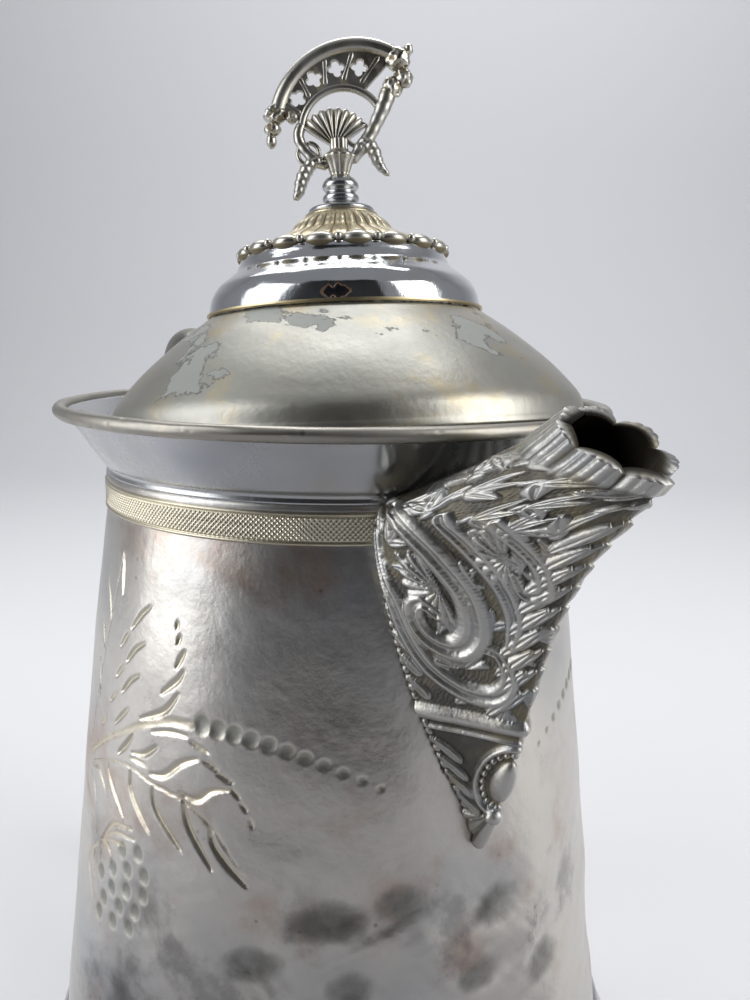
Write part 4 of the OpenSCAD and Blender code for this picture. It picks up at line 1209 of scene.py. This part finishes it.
# %% Relief drawing tools
def curve_distance(x, y, points, widths):
    """Nearest distance to a curve as a share of its width there, and the way along it from 0 to 1."""
    best = np.full(x.shape, 9.0)
    along = np.zeros(x.shape)
    length = np.concatenate([[0], np.cumsum(np.linalg.norm(np.diff(points, axis=0), axis=1))])
    for i in range(len(points) - 1):
        (x0, y0), (x1, y1) = points[i], points[i + 1]
        dx, dy = x1 - x0, y1 - y0
        t = np.clip(((x - x0) * dx + (y - y0) * dy) / (dx * dx + dy * dy + 1e-9), 0, 1)
        way = (length[i] + t * (length[i + 1] - length[i])) / length[-1]
        gap = np.hypot(x - x0 - t * dx, y - y0 - t * dy) / np.interp(way, np.linspace(0, 1, len(widths)), widths)
        closer = gap < best
        best = np.where(closer, gap, best)
        along = np.where(closer, way, along)
    return best, along


def scroll(field, x, y, points, widths, height, groove=0.35, ribs=0):
    """A raised band along a curve: a rounded back, a groove down its middle and, if asked, ribs across it."""
    gap, along = curve_distance(x, y, catmull(points, 36), widths)
    dome = np.sqrt(np.clip(1 - gap * gap, 0, 1))
    band = dome - groove * bump(gap, 0.45)
    if ribs:
        band = band * (0.8 + 0.2 * np.cos(2 * math.pi * ribs * along))
    return np.maximum(field, np.where(gap < 1, height * band, 0))


def shell(field, x, y, centre, radius, start, sweep_angle, ribs, height):
    """A fan of rounded ribs that grows from a centre to a scalloped edge."""
    dx, dy = x - centre[0], y - centre[1]
    angle = (np.arctan2(dy, dx) - math.radians(start)) % (2 * math.pi) / math.radians(sweep_angle)
    inside = (angle > 0) & (angle < 1)
    rib = np.abs(np.sin(math.pi * ribs * np.clip(angle, 0, 1)))
    reach = radius * (0.9 + 0.1 * rib)
    share = np.hypot(dx, dy) / reach
    lobe = height * (0.35 + 0.65 * rib ** 0.7) * np.clip(1.15 - (share - 0.55) ** 2 * 2.4, 0, 1)
    return np.maximum(field, np.where(inside & (share < 1), lobe, 0))


def leaf(field, x, y, root, tip, width, height):
    """A pointed lobe with a raised back and a cut vein."""
    root, tip = np.array(root, float), np.array(tip, float)
    length = np.linalg.norm(tip - root)
    way = (tip - root) / length
    dx, dy = x - root[0], y - root[1]
    share = (dx * way[0] + dy * way[1]) / length
    reach = width * np.sqrt(np.clip(share, 0, 1)) * np.clip(1.12 - share, 0, 1) * 1.5 + 1e-6
    side = (-dx * way[1] + dy * way[0]) / reach
    inside = (share > 0) & (share < 1) & (np.abs(side) < 1)
    lobe = height * (np.sqrt(np.clip(1 - side * side, 0, 1)) - 0.4 * bump(side, 0.3))
    return np.maximum(field, np.where(inside, lobe, 0))


def stud(field, x, y, at, radii, height):
    gap = np.hypot((x - at[0]) / radii[0], (y - at[1]) / radii[1])
    return np.maximum(field, height * np.sqrt(np.clip(1 - gap * gap, 0, 1)))


# %% The spout's ornament
# where the leaves of the ground start: across from the edge, up from the rim
GROUND_LEAVES = [
    (7, -20), (11, -25), (9, -34), (14, -33), (20, -25), (22, -34), (16, -42), (10, -43), (24, -38),
    (27, -29), (29, -23), (33, -21), (18, -19), (24, -15), (5, -37), (7, -47), (13, -49), (19, -50),
    (24, -46), (30, -34), (36, -24), (39, -18), (33, -14)]


def spout_relief(x, y, width):
    """Height in mm at x across from the shield's edge to the keel, y up from the rim, width of the side at y."""
    field = 0.16 + 0.10 * np.sin(6.3 * x + 1.5 * np.sin(2 * y)) * np.sin(6.3 * y + np.sin(3 * x))
    keel = width - x
    # leaves that fill the ground, turned this way and that, lie under everything else
    for k, (lx, ly) in enumerate(GROUND_LEAVES):
        turn = 0.9 + 1.3 * k
        for fan in (-0.75, 0.0, 0.75):
            tip = (lx + 4.4 * math.cos(turn + fan), ly + 4.4 * math.sin(turn + fan))
            field = leaf(field, x, y, (lx, ly), tip, 1.6, 0.75)
    # a heavy scroll that curls in the middle of the shield, and the wave that answers it
    field = scroll(field, x, y, [(6.5, -14), (12, -16.5), (17, -21), (20, -28), (18.5, -35.5), (13.5, -39.5),
                                 (8.6, -37.5), (7.6, -33), (10.4, -30.3), (12.8, -32.4)],
                   (1.5, 2.9, 3.5, 3.4, 2.9, 2.2, 1.5), 1.75, 0.55)
    field = scroll(field, x, y, [(2.8, -19), (3.1, -25), (4.2, -31), (4.6, -38), (6.8, -44), (12, -48), (18, -48),
                                 (22, -44), (22, -39), (19, -38.2)], (1.3, 2.1, 2.4, 2.6, 2.5, 1.9, 1.2), 1.5, 0.5)
    field = scroll(field, x, y, [(17, -13.2), (23, -17.5), (27.2, -23.5), (27.8, -30.5), (25, -36.5)],
                   (1.3, 2.4, 2.7, 2.3, 1.2), 1.4, 0.55)
    field = scroll(field, x, y, [(26, -12.6), (32, -15.5), (36, -20), (35.2, -25), (31.6, -25.8), (31, -22.6)],
                   (1.2, 2.0, 2.2, 1.9, 1.3), 1.4, 0.5)
    # ribbed shells in the hollows of the scrolls
    field = shell(field, x, y, (15.2, -27.5), 7.4, 95, 185, 10, 1.15)
    field = shell(field, x, y, (13.4, -43.5), 6.0, 10, 170, 8, 1.0)
    field = shell(field, x, y, (23.4, -27), 6.0, 100, 170, 8, 1.0)
    field = shell(field, x, y, (30.5, -19.5), 6.8, 80, 200, 10, 1.2)
    field = shell(field, x, y, (5.6, -27.5), 4.0, 90, 200, 6, 0.95)
    # leaves down the shield's edge and up along the keel
    for k in range(8):
        z = -15.5 - 4.6 * k
        field = leaf(field, x, y, (4.2, z - 3.4), (1.2, z + 0.6), 2.2, 1.0)
    for k in range(9):
        z = -52 + 4.4 * k
        field = np.maximum(field, leaf(0 * field, -keel, y, (-7.2, z), (-2.0, z + 6.2), 2.4, 1.3))
        field = np.maximum(field, leaf(0 * field, -keel, y, (-4.6, z + 1.5), (-0.3, z + 6.6), 1.7, 1.0))
    field = np.where(y > -52.5, field, 0.2 * field)
    # a bar across the shield, and below it a beaded frame round an oval stone, a ball and a shell at the point
    field = np.maximum(field, 1.7 * np.sqrt(bump(y + 54, 2.0)) * (x > 0.5))
    field = np.maximum(field, 1.0 * bump(y + 57.2, 0.8) * (x > 0.5))
    below = y < -58
    for z, reach in ((-61, 5.4), (-65, 4.8), (-69, 4.2), (-73, 3.6)):
        field = np.where(below, leaf(field, x, y, (reach, z - 3.2), (0.9, z + 1.4), 2.1, 1.05), field)
    frame = np.hypot(keel / 6.0, (y + 66.5) / 8.0)
    field = np.maximum(field, 1.25 * bump(frame - 1, 0.17))
    field = np.maximum(field, 1.9 * np.sqrt(np.clip(1 - np.hypot(keel / 3.2, (y + 66.5) / 4.9) ** 2, 0, 1)))
    for k in range(22):
        angle = 2 * math.pi * (k + 0.5) / 22
        gap = np.hypot(keel - 4.6 * math.cos(angle), y + 66.5 - 6.45 * math.sin(angle)) / 0.7
        field = np.maximum(field, 0.95 * np.sqrt(np.clip(1 - gap * gap, 0, 1)))
    ball = np.hypot(keel / 1.9, (y + 75.5) / 1.7)
    field = np.maximum(field, 1.9 * np.sqrt(np.clip(1 - ball * ball, 0, 1)))
    fan = np.arctan2(keel, -(y + 74.5))
    reach = np.hypot(keel, y + 74.5)
    fan_on = (y < -76) & (reach < 9.4)
    field = np.where(fan_on, np.maximum(field * 0.4, 0.45 + 0.75 * np.abs(np.cos(5.2 * fan))), field)
    # beads along the shield's edge
    edge = np.sqrt(np.clip(1 - ((x - 0.9) / 0.85) ** 2 - ((y % 1.8 - 0.9) / 0.85) ** 2, 0, 1))
    return np.maximum(field, 0.8 * edge * (y < -13))


# %% Spout mesh
SPOUT_ROWS = 480
MOUTH_LOBES = 7
# leaves on the upper side: across from the edge, up from the rim, and the way each one points, in radians
CREST_LEAVES = [
    (5, -9, 0.4), (10, -6, 2.6), (15, -9, 0.8), (20, -5, 0.2), (25, -1, 2.4), (13, -2, 0.7),
    (19, 1, 0.3), (25, 5, 0.9), (31, 2, 2.7), (30, 8, 0.5), (7, -3, 0.5), (36, -7, 1.0),
    (31, -5, 2.5), (26, -9, 0.4), (38, 0, 0.8), (4, 2, 0.9), (9, 5, 0.6), (15, 7, 0.9),
    (21, 10, 0.7), (36, 6, 2.4), (8, -14, 0.5), (14, -13, 2.4), (22, -12.5, 0.5), (29, -14, 0.8),
    (37, -13, 2.5)]


def mouth_relief(share, along):
    """Shells under the mouth's lobes: share goes round the mouth, along goes up to 1 at its edge."""
    turn = share * MOUTH_LOBES
    lobe = np.abs(np.cos(math.pi * turn))
    ribs = np.abs(np.cos(math.pi * turn * 5))
    rise = ramp(along, 0.86, 0.93)
    return rise * (0.25 + 0.75 * lobe ** 0.6) * (0.65 + 0.35 * ribs) * 1.1


def make_spout():
    skin = spout_grid(1.1, SPOUT_ROWS)
    inner = spout_grid(2.8, 90, from_row=3)[::-1]
    z_up = skin[:, :, 2] - RIM_Z
    outside = np.hypot(skin[:, :, 0], skin[:, :, 1]) > pot_outside(skin[:, :, 2]) + 0.1
    outside |= skin[:, :, 2] > RIM_Z
    step = np.linalg.norm(np.diff(skin, axis=1, append=skin[:, :1]), axis=2) * outside
    arc = np.cumsum(step[:, :SIDE_COLUMNS], axis=1)
    total = arc[:, -1:]
    field = np.zeros(z_up.shape)
    field[:, :SIDE_COLUMNS] = spout_relief(np.minimum(arc, total - arc), z_up[:, :SIDE_COLUMNS], total / 2)
    along = np.linspace(0, 1, SPOUT_ROWS)[:, None]
    share = np.linspace(0, 1, SPOUT_COLUMNS, endpoint=False)[None, :]
    near_mouth = ramp(along, 0.85, 0.93)
    roof = (np.arange(SPOUT_COLUMNS) >= SIDE_COLUMNS)[None, :]
    stripes = 0.3 + 0.5 * np.abs(np.sin(share * 120 + 9 * along))
    field = np.where(roof, stripes, field)
    crest = np.minimum(arc, total - arc)
    lift = z_up[:, :SIDE_COLUMNS]
    upper = np.zeros(crest.shape)
    for cx, cy, turn in CREST_LEAVES:
        for fan in (-0.7, 0.0, 0.7):
            tip = (cx + 5.4 * math.cos(turn + fan), cy + 5.4 * math.sin(turn + fan))
            upper = leaf(upper, crest, lift, (cx, cy), tip, 1.9, 1.15)
        upper = stud(upper, crest, lift, (cx - 0.8 * math.cos(turn), cy - 0.8 * math.sin(turn)), (1.1, 1.1), 1.1)
    field[:, :SIDE_COLUMNS] = np.maximum(field[:, :SIDE_COLUMNS], upper * (lift > -19))
    field = np.maximum(field * (1 - 0.8 * near_mouth), mouth_relief(share, along) * near_mouth)
    field *= outside
    normal = grid_normals(skin, False, True)
    centre = skin.mean(axis=1, keepdims=True)
    facing = np.sign(((skin - centre) * normal).sum(2).mean())
    skin = skin + facing * normal * field[:, :, None] * 0.95
    # the mouth's edge is scalloped and its lobes roll outwards
    notch = 1 - np.abs(np.cos(math.pi * share * MOUTH_LOBES)) ** 0.7
    mouth_way = skin[-1].mean(0) - skin[-60].mean(0)
    mouth_way /= np.linalg.norm(mouth_way)
    skin = skin - mouth_way * (ramp(along, 0.86, 1.0) * notch * 1.6)[:, :, None]
    out = skin - skin.mean(axis=1, keepdims=True)
    out /= np.linalg.norm(out, axis=2, keepdims=True)
    skin = skin - out * (ramp(along, 0.88, 1.0) * notch * 0.7)[:, :, None]
    inner_along = np.linspace(1, 0, 90)[:, None]
    inner = inner - mouth_way * (ramp(inner_along, 0.75, 1.0) * notch * 1.6)[:, :, None]
    grid = np.concatenate([skin, inner])
    pot = pot_outside(grid[:, :, 2]) - 0.5
    r = np.hypot(grid[:, :, 0], grid[:, :, 1])
    push = np.where((r < pot) & (grid[:, :, 2] < RIM_Z), pot / np.maximum(r, 1e-6), 1)
    grid[:, :, :2] *= push[:, :, None]
    box = np.array(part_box("spout")) / MM
    grid = np.minimum(np.maximum(grid, box[0] + 0.01), box[1] - 0.01)
    mesh = grid_mesh("spout_casting", grid, caps=True)
    paint(mesh, "relief", np.concatenate([np.clip(field / 1.15, 0, 1), np.zeros(inner.shape[:2])]))
    # the inside mask marks the inner sheet, which the material paints with near-black shade
    paint(mesh, "inside", np.concatenate([np.zeros(z_up.shape), np.ones(inner.shape[:2])]))
    return mesh


def spout_material():
    """Aged cast silver: bright worn tops, brown and yellow dirt low down, and painted near-black shade inside."""
    material, tree, shader = new_material("aged casting")
    where = place_vector(tree)
    clouds = use(tree, TARNISH, Vector=where, Plate=(0.46, 0.455, 0.43), Cool=(0.30, 0.315, 0.33),
                 Warm=(0.47, 0.41, 0.28), Scale=70.0, Cool_Amount=0.6, Warm_Amount=0.6)
    speck = use(tree, SPECKS, Vector=where, Scale=500.0, Amount=0.5)["Speck"]
    scratch = use(tree, HAZE, Vector=where)["Haze"]
    relief = attribute(tree, "relief")
    patchy = sums(tree, "ADD", relief, sums(tree, "MULTIPLY", sums(tree, "SUBTRACT", scratch, 0.5), 0.5))
    low = stretch(tree, patchy, 0.52, 0.10)
    dirt = mixed(tree, stretch(tree, clouds["Cloud"], 0.4, 0.6), (0.055, 0.05, 0.042), (0.22, 0.19, 0.12))
    colour = mixed(tree, speck, clouds["Color"], (0.06, 0.06, 0.055))
    colour = mixed(tree, stretch(tree, relief, 0.75, 1.0, 0.0, 0.45), colour, (0.70, 0.685, 0.64))
    colour = mixed(tree, sums(tree, "MULTIPLY", low, 0.8), colour, dirt)
    # painted shade: the inner sheet, seen through the mouth, is painted near black for the shade inside the spout
    colour = mixed(tree, sums(tree, "MULTIPLY", attribute(tree, "inside"), 0.9), colour, (0.035, 0.03, 0.025))
    tree.links.new(colour, shader.inputs["Base Color"])
    gloss = stretch(tree, scratch, 0.3, 0.7, 0.32, 0.48)
    gloss = sums(tree, "ADD", gloss, sums(tree, "MULTIPLY", low, 0.25), True)
    gloss = sums(tree, "ADD", gloss, sums(tree, "MULTIPLY", attribute(tree, "inside"), 0.5), True)
    tree.links.new(gloss, shader.inputs["Roughness"])
    add_bump(tree, shader, noise(tree, where, 700.0, 4.0, 0.6), 0.00014)
    return material


spout_casting = place(make_spout(), "pot", spout_material(), ["spout"])
print("spout:", len(spout_casting.data.vertices), "points")

# %% [markdown]
# ## The handle, its sockets and the foot
# The handle is a hollow casting that leaves the body in a socket, rises above the rim as a thumb rest and comes
# down to a second socket. Rings are swept along a smooth middle line, and the section is an oval that flattens at
# the top. Bone rings between handle and sockets keep the heat out. The foot is a spun ring of mouldings.

# %% Sweeping a section along a curve in the XZ plane
def swept(name, path, half_widths, half_depths, sides=40, count=120, ripple=0.0, plane_turn=0.0, lift=0.0):
    """A rod whose section is an oval, half_widths across the plane and half_depths in it. Both ends are closed."""
    path = np.array(path, float)
    line = catmull(np.column_stack([path, np.array(half_widths, float), np.array(half_depths, float)]), count)
    middle, widths, depths = line[:, :2], line[:, 2:3], line[:, 3:4]
    way = np.gradient(middle, axis=0)
    way /= np.linalg.norm(way, axis=1, keepdims=True)
    angle = -np.linspace(0, 2 * math.pi, sides, endpoint=False)[None, :]
    end = np.sqrt(np.clip(np.minimum(np.arange(count), np.arange(count)[::-1]) / 3.0, 0.05, 1))[:, None]
    wave = 1 + ripple * np.cos(np.linspace(0, 1, count) * math.pi * count / 4)[:, None]
    n = depths * np.cos(angle) * end * wave
    x = middle[:, :1] - way[:, 1:] * n
    z = middle[:, 1:] + way[:, :1] * n + lift
    y = widths * np.sin(angle) * end * wave
    c, s = math.cos(plane_turn), math.sin(plane_turn)
    return grid_mesh(name, np.stack([x * c - y * s, x * s + y * c, z], -1), caps=True)


UPPER_Z = BAND_Z0 - 13.7
LOWER_Z = FOOT_H + (BAND_Z0 - FOOT_H) * 0.25
UPPER_RISE, LOWER_RISE = math.radians(38), math.radians(32)
SOCKET_H, INSULATOR_T = 10, 3
HANDLE_REACH = 127


def along_socket(at, rise, distance):
    return (at[0] - distance * math.cos(rise), at[1] + distance * math.sin(rise))


UPPER_AT = (-(float(body_radius(UPPER_Z)) - 2.5), UPPER_Z)
LOWER_AT = (-(float(body_radius(LOWER_Z)) - 0.7), LOWER_Z)


def make_handle():
    start = along_socket(UPPER_AT, UPPER_RISE, SOCKET_H + INSULATOR_T)
    end = along_socket(LOWER_AT, LOWER_RISE, SOCKET_H + INSULATOR_T)
    rise = along_socket(start, UPPER_RISE, 9)
    fall = along_socket(end, LOWER_RISE, 5)
    top = [(start[0] - s * (HANDLE_REACH + start[0]), RIM_Z + h)
           for s, h in ((0.4, 2), (0.61, 10.4), (0.8, 11), (0.95, 2), (1, -14))]
    back = [(end[0] - s * (HANDLE_REACH + end[0]), end[1] + t * (RIM_Z - end[1]))
            for s, t in ((0.98, 0.69), (0.85, 0.49), (0.64, 0.3), (0.4, 0.155))]
    path = [start, rise, *top, *back, fall, end]
    widths = [6.2, 6.2, 6.8, 7.5, 7.5, 7, 6.4, 6, 5.8, 5.8, 5.9, 6.1, 6.2]
    depths = [6.2, 5.8, 5.8, 6.5, 6.5, 6, 5.5, 5.4, 5.4, 5.4, 5.6, 5.9, 6.2]
    return swept("cast_handle", path, widths, depths, 72, 260)


def make_foot():
    out, plate = BASE_R + 5.6, BASE_R - WALL
    plate_low = FOOT_H - 5.6
    outer = catmull([(out - 0.1, 0.05), (out + 0.4, 1.2), (out, 2.6), (out - 1.5, FOOT_H * 0.38),
                     (BASE_R + 2.2, FOOT_H * 0.6), (BASE_R + 1.2, FOOT_H * 0.74), (BASE_R + 1.95, FOOT_H * 0.84),
                     (BASE_R + 1.75, FOOT_H * 0.93), (BASE_R + 0.8, FOOT_H - 0.05)], 60)
    inner = np.array([(plate, FOOT_H), (plate, plate_low), (plate - 2.3, plate_low), (plate - 2.3, plate_low - 1.4),
                      (out - 6, 1.6), (out - 6, 0), (out - 0.4, 0)])
    mesh = grid_mesh("spun_foot", turned(np.vstack([outer, inner]), around(540)), wrap_rows=True)
    return mesh


place(make_handle(), "pot", plated("handle silver", (0.34, 0.33, 0.28), (0.22, 0.225, 0.20), (0.36, 0.31, 0.20),
                                   rough=(0.2, 0.4), cloud=40.0, specks=0.6), ["handle_grip"])
place(make_foot(), "pot", silver_body, ["foot_ring"])

# %% [markdown]
# ## The finial
# The finial is an openwork crescent standing on a ribbed stem: an outer rod, an inner rod, and between them a plate
# pierced with four-lobed openings. Below hangs a ribbed shell. Two arms end in rings, and two leaves curl down.
# Every part is a small grid in the finial's own plane, and all are joined into one casting.

# %% Finial parts
FINIAL_TURN = math.radians(60)


def finial_rod(path, widths, depths=None, sides=20, count=60, ripple=0.0, value=1.0):
    mesh = swept("rod", path, widths, depths or widths, sides, count, ripple, FINIAL_TURN, CUP_TOP)
    paint(mesh, "relief", np.full(len(mesh.vertices), value))
    return mesh


def arc_points(centre, radius, start, stop, count):
    angles = np.radians(np.linspace(start, stop, count))
    return [(centre[0] + radius * math.cos(a), centre[1] + radius * math.sin(a)) for a in angles]


def in_plane(u, y, z):
    c, s = math.cos(FINIAL_TURN), math.sin(FINIAL_TURN)
    return np.stack([u * c - y * s, u * s + y * c, CUP_TOP + z], -1)


def pierced_web():
    """The plate between the two rods, with a four-lobed opening in each of its four bays."""
    angles = np.radians(np.linspace(166, 60, 280))[None, :]
    share = np.linspace(0, 1, 56)[:, None]
    inner = (1.2 + 10.2 * np.cos(angles), 10.8 + 10.2 * np.sin(angles))
    outer = (4.3 + 18.2 * np.cos(angles), 11 + 18.2 * np.sin(angles))
    u, z = (a + (b - a) * share for a, b in zip(inner, outer))
    gone = np.zeros(u.shape, bool)
    for middle in (79, 101, 124, 148):
        a = math.radians(middle)
        radius = (10.2 + 18.2) / 2
        at = (2.75 + radius * math.cos(a), 10.9 + radius * math.sin(a))
        for k in range(4):
            turn = a + math.pi / 2 * k
            lobe = (at[0] + 1.15 * math.cos(turn), at[1] + 1.15 * math.sin(turn))
            gone |= np.hypot(u - lobe[0], z - lobe[1]) < 0.95
        gone |= np.hypot(u - at[0], z - at[1]) < 0.9
    # a cell is left out only where all four of its corners lie in an opening
    full = gone & np.roll(gone, -1, 1) & np.roll(gone, -1, 0) & np.roll(gone, (-1, -1), (0, 1))
    front, back = in_plane(u, -0.75 + 0 * u, z), in_plane(u, 0.75 + 0 * u, z)
    mesh = pierced_mesh("web", back, front, full, wrap_columns=False)
    paint(mesh, "relief", np.full(len(mesh.vertices), 0.55))
    return mesh


def shell_fan(centre, radius, start, stop, ribs, thick):
    """A domed shell with rounded ribs on both faces and a scalloped edge."""
    angles = np.radians(np.linspace(start, stop, 120))[None, :]
    share = np.linspace(0.04, 1, 30)[:, None]
    rib = np.abs(np.cos(ribs * (angles - math.radians(start)) * math.pi / math.radians(stop - start)))
    reach = radius * share * (0.93 + 0.07 * rib)
    u, z = centre[0] + reach * np.cos(angles), centre[1] + reach * np.sin(angles)
    edge = np.minimum(1, np.sqrt(np.clip(1 - share ** 6, 0, 1)) + 0.08)
    height = thick * edge * (0.55 + 0.45 * rib) * (0.6 + 0.4 * np.sin(math.pi * share))
    mesh = pierced_mesh("fan", in_plane(u, height, z), in_plane(u, -height, z), np.zeros(u.shape, bool), False)
    paint(mesh, "relief", np.concatenate([rib + 0 * share] * 2))
    return mesh


def ribbed_stem():
    profile = catmull([(3.1, 0), (2.3, 0.8), (2.6, 1.8), (3.3, 3.6), (4.1, 5.0), (3.2, 5.8), (2.3, 6.6),
                       (2.2, 9)], 60)
    angles = around(96)
    grid = turned(profile, angles)
    grid[:, :, :2] *= (0.90 + 0.10 * np.abs(np.cos(4 * angles)))[None, :, None]
    grid[:, :, 2] += CUP_TOP
    mesh = grid_mesh("stem", grid, caps=True)
    paint(mesh, "relief", np.repeat(np.abs(np.cos(4 * angles))[None, :] ** 0.5, len(profile), 0))
    return mesh


def knob(at, radii, seed, lumps=0.18):
    """A lumpy cast knob, with the dents of its modelling as dark places."""
    mesh = ball((0, 0, 0), radii, 0, (26, 36))
    points = np.array([v.co for v in mesh.vertices]) / MM
    lump = soft_noise(points[:, 0] * 1.5, points[:, 1] * 1.5, points[:, 2] * 1.5, seed=seed)
    points *= (1 + lumps * np.clip(lump, -1, 1))[:, None]
    where = in_plane(points[:, 0] + at[0], points[:, 1], points[:, 2] + at[1])
    mesh.vertices.foreach_set("co", (where * MM).astype(np.float32).ravel())
    paint(mesh, "relief", np.clip(0.65 + lump, 0, 1))
    return mesh


def make_finial():
    parts = [pierced_web(), shell_fan((-0.9, 7.2), 9.2, 32, 148, 9, 1.7), ribbed_stem()]
    parts.append(finial_rod(arc_points((4.3, 11), 19, 172, 56, 12), [1.7] + [1.82] * 10 + [1.7], count=120))
    parts.append(finial_rod(arc_points((1.2, 10.8), 9.9, 176, 12, 12), [0.95] * 12, count=90))
    for middle in (69, 90, 112, 136, 158):
        a = math.radians(middle)
        inside = (1.2 + 10 * math.cos(a), 10.8 + 10 * math.sin(a))
        outside = (4.3 + 18.4 * math.cos(a), 11 + 18.4 * math.sin(a))
        between = tuple((p + q) / 2 for p, q in zip(inside, outside))
        parts.append(finial_rod([inside, between, outside], [1.0, 0.85, 1.0], count=16))
    # arms with ringed ends, and a bead on each ring
    parts.append(finial_rod([(-8.4, 13.2), (-9.4, 10), (-8, 7), (-5.2, 4.2), (-2.4, 3)], [1.2, 1.3, 1.25, 1.4, 1.2],
                            count=50, ripple=0.03))
    parts.append(finial_rod([(12.4, 20.4), (11, 16.6), (8.8, 12.2), (6.2, 8), (2.4, 3.6)], [2.0, 1.9, 1.6, 1.6, 1.3],
                            count=60, ripple=0.03))
    for centre, radius in (((-7.2, 6.0), 2.5), ((4.6, 10.0), 2.7)):
        parts.append(finial_rod(arc_points(centre, radius, 100, -258, 16), [0.55] * 16, count=60))
    # leaves that curl down and outwards
    parts.append(finial_rod([(-3.4, 4.4), (-6.6, 3.6), (-8.8, 0.6), (-10, -3), (-11.2, -4.4)],
                            [1.5, 2.0, 2.1, 1.5, 0.6],
                            [1.1, 1.5, 1.6, 1.2, 0.5], count=60, ripple=0.06))
    parts.append(finial_rod([(3.6, 5.4), (6, 8), (8.0, 6.4), (9.4, 3), (11.6, 0.3)], [1.5, 1.9, 2.1, 1.6, 0.6],
                            [1.1, 1.5, 1.6, 1.2, 0.5], count=60, ripple=0.06))
    # the knobs that end the crescent
    parts += [knob((14.4, 26.6), (2.9, 2.6, 2.8), 31), knob((15.6, 22.4), (2.2, 2.1, 2.4), 32),
              knob((13.2, 20.4), (2.3, 2.1, 2.5), 33), knob((16.9, 28.6), (1.2, 1.2, 1.4), 34),
              knob((-14.6, 15.2), (2.6, 2.3, 2.3), 35), knob((-15.4, 11.8), (2.0, 1.9, 1.5), 36, 0.1),
              knob((-15.8, 9.2), (1.2, 1.2, 1.7), 37, 0.05), knob((-10.9, 14.6), (1.5, 1.6, 1.5), 38)]
    for k in range(3):
        parts.append(finial_rod(arc_points((-15.2, 13.2 - 1.7 * k), 0.1, 0, 300, 4), [2.4 - 0.3 * k] * 4, [0.35] * 4,
                                count=12))
    mesh = joined("openwork_finial", parts)
    points = np.empty(len(mesh.vertices) * 3, np.float32)
    mesh.vertices.foreach_get("co", points)
    points = points.reshape(-1, 3)
    pits = soft_noise(*(points.T * 900), seed=40)
    layer = mesh.attributes["relief"]
    values = np.empty(len(points), np.float32)
    layer.data.foreach_get("value", values)
    layer.data.foreach_set("value", np.clip(values - 0.35 * np.clip(pits, 0, 1), 0, 1).astype(np.float32))
    return mesh


place(make_finial(), "lid", cast_silver, ["finial"], on_lid=True)


# %% [markdown]
# ## The pieces that keep their CAD shape
# Turned and flat pieces, such as the base plate, the sockets and the hinge, already have their true shape, so they
# only need their finish.

# %% Finishes for the CAD pieces
def bone_material():
    """Old bone, ivory coloured, with brown grain along it and a soft polish."""
    material, tree, shader = new_material("old bone", 0.0)
    where = place_vector(tree, (1, 1, 0.25))
    grain = noise(tree, where, 700.0, 5.0, 0.6)
    colour = mixed(tree, stretch(tree, grain, 0.5, 0.75), (0.62, 0.52, 0.36), (0.32, 0.22, 0.12))
    tree.links.new(colour, shader.inputs["Base Color"])
    tree.links.new(stretch(tree, grain, 0.3, 0.7, 0.3, 0.45), shader.inputs["Roughness"])
    add_bump(tree, shader, grain, 0.00005)
    return material


old_bone = bone_material()
CAD_FINISH = {
    "base_plate": silver_body, "upper_socket": silver_gallery, "lower_socket": silver_gallery,
    "upper_insulator": old_bone, "lower_insulator": old_bone, "upper_cross_pin": turned_brass,
    "lower_cross_pin": turned_brass, "hinge_bracket": silver_gallery, "hinge_pin": turned_brass,
    "lid_bezel": lid_pewter, "crown_wire": turned_brass, "finial_stud": turned_brass,
    "finial_washer": silver_gallery, "finial_nut": turned_brass, "lid_leaf": silver_gallery}
for node, finish in CAD_FINISH.items():
    for slot in frame["nodes"][node].material_slots:
        slot.material = finish
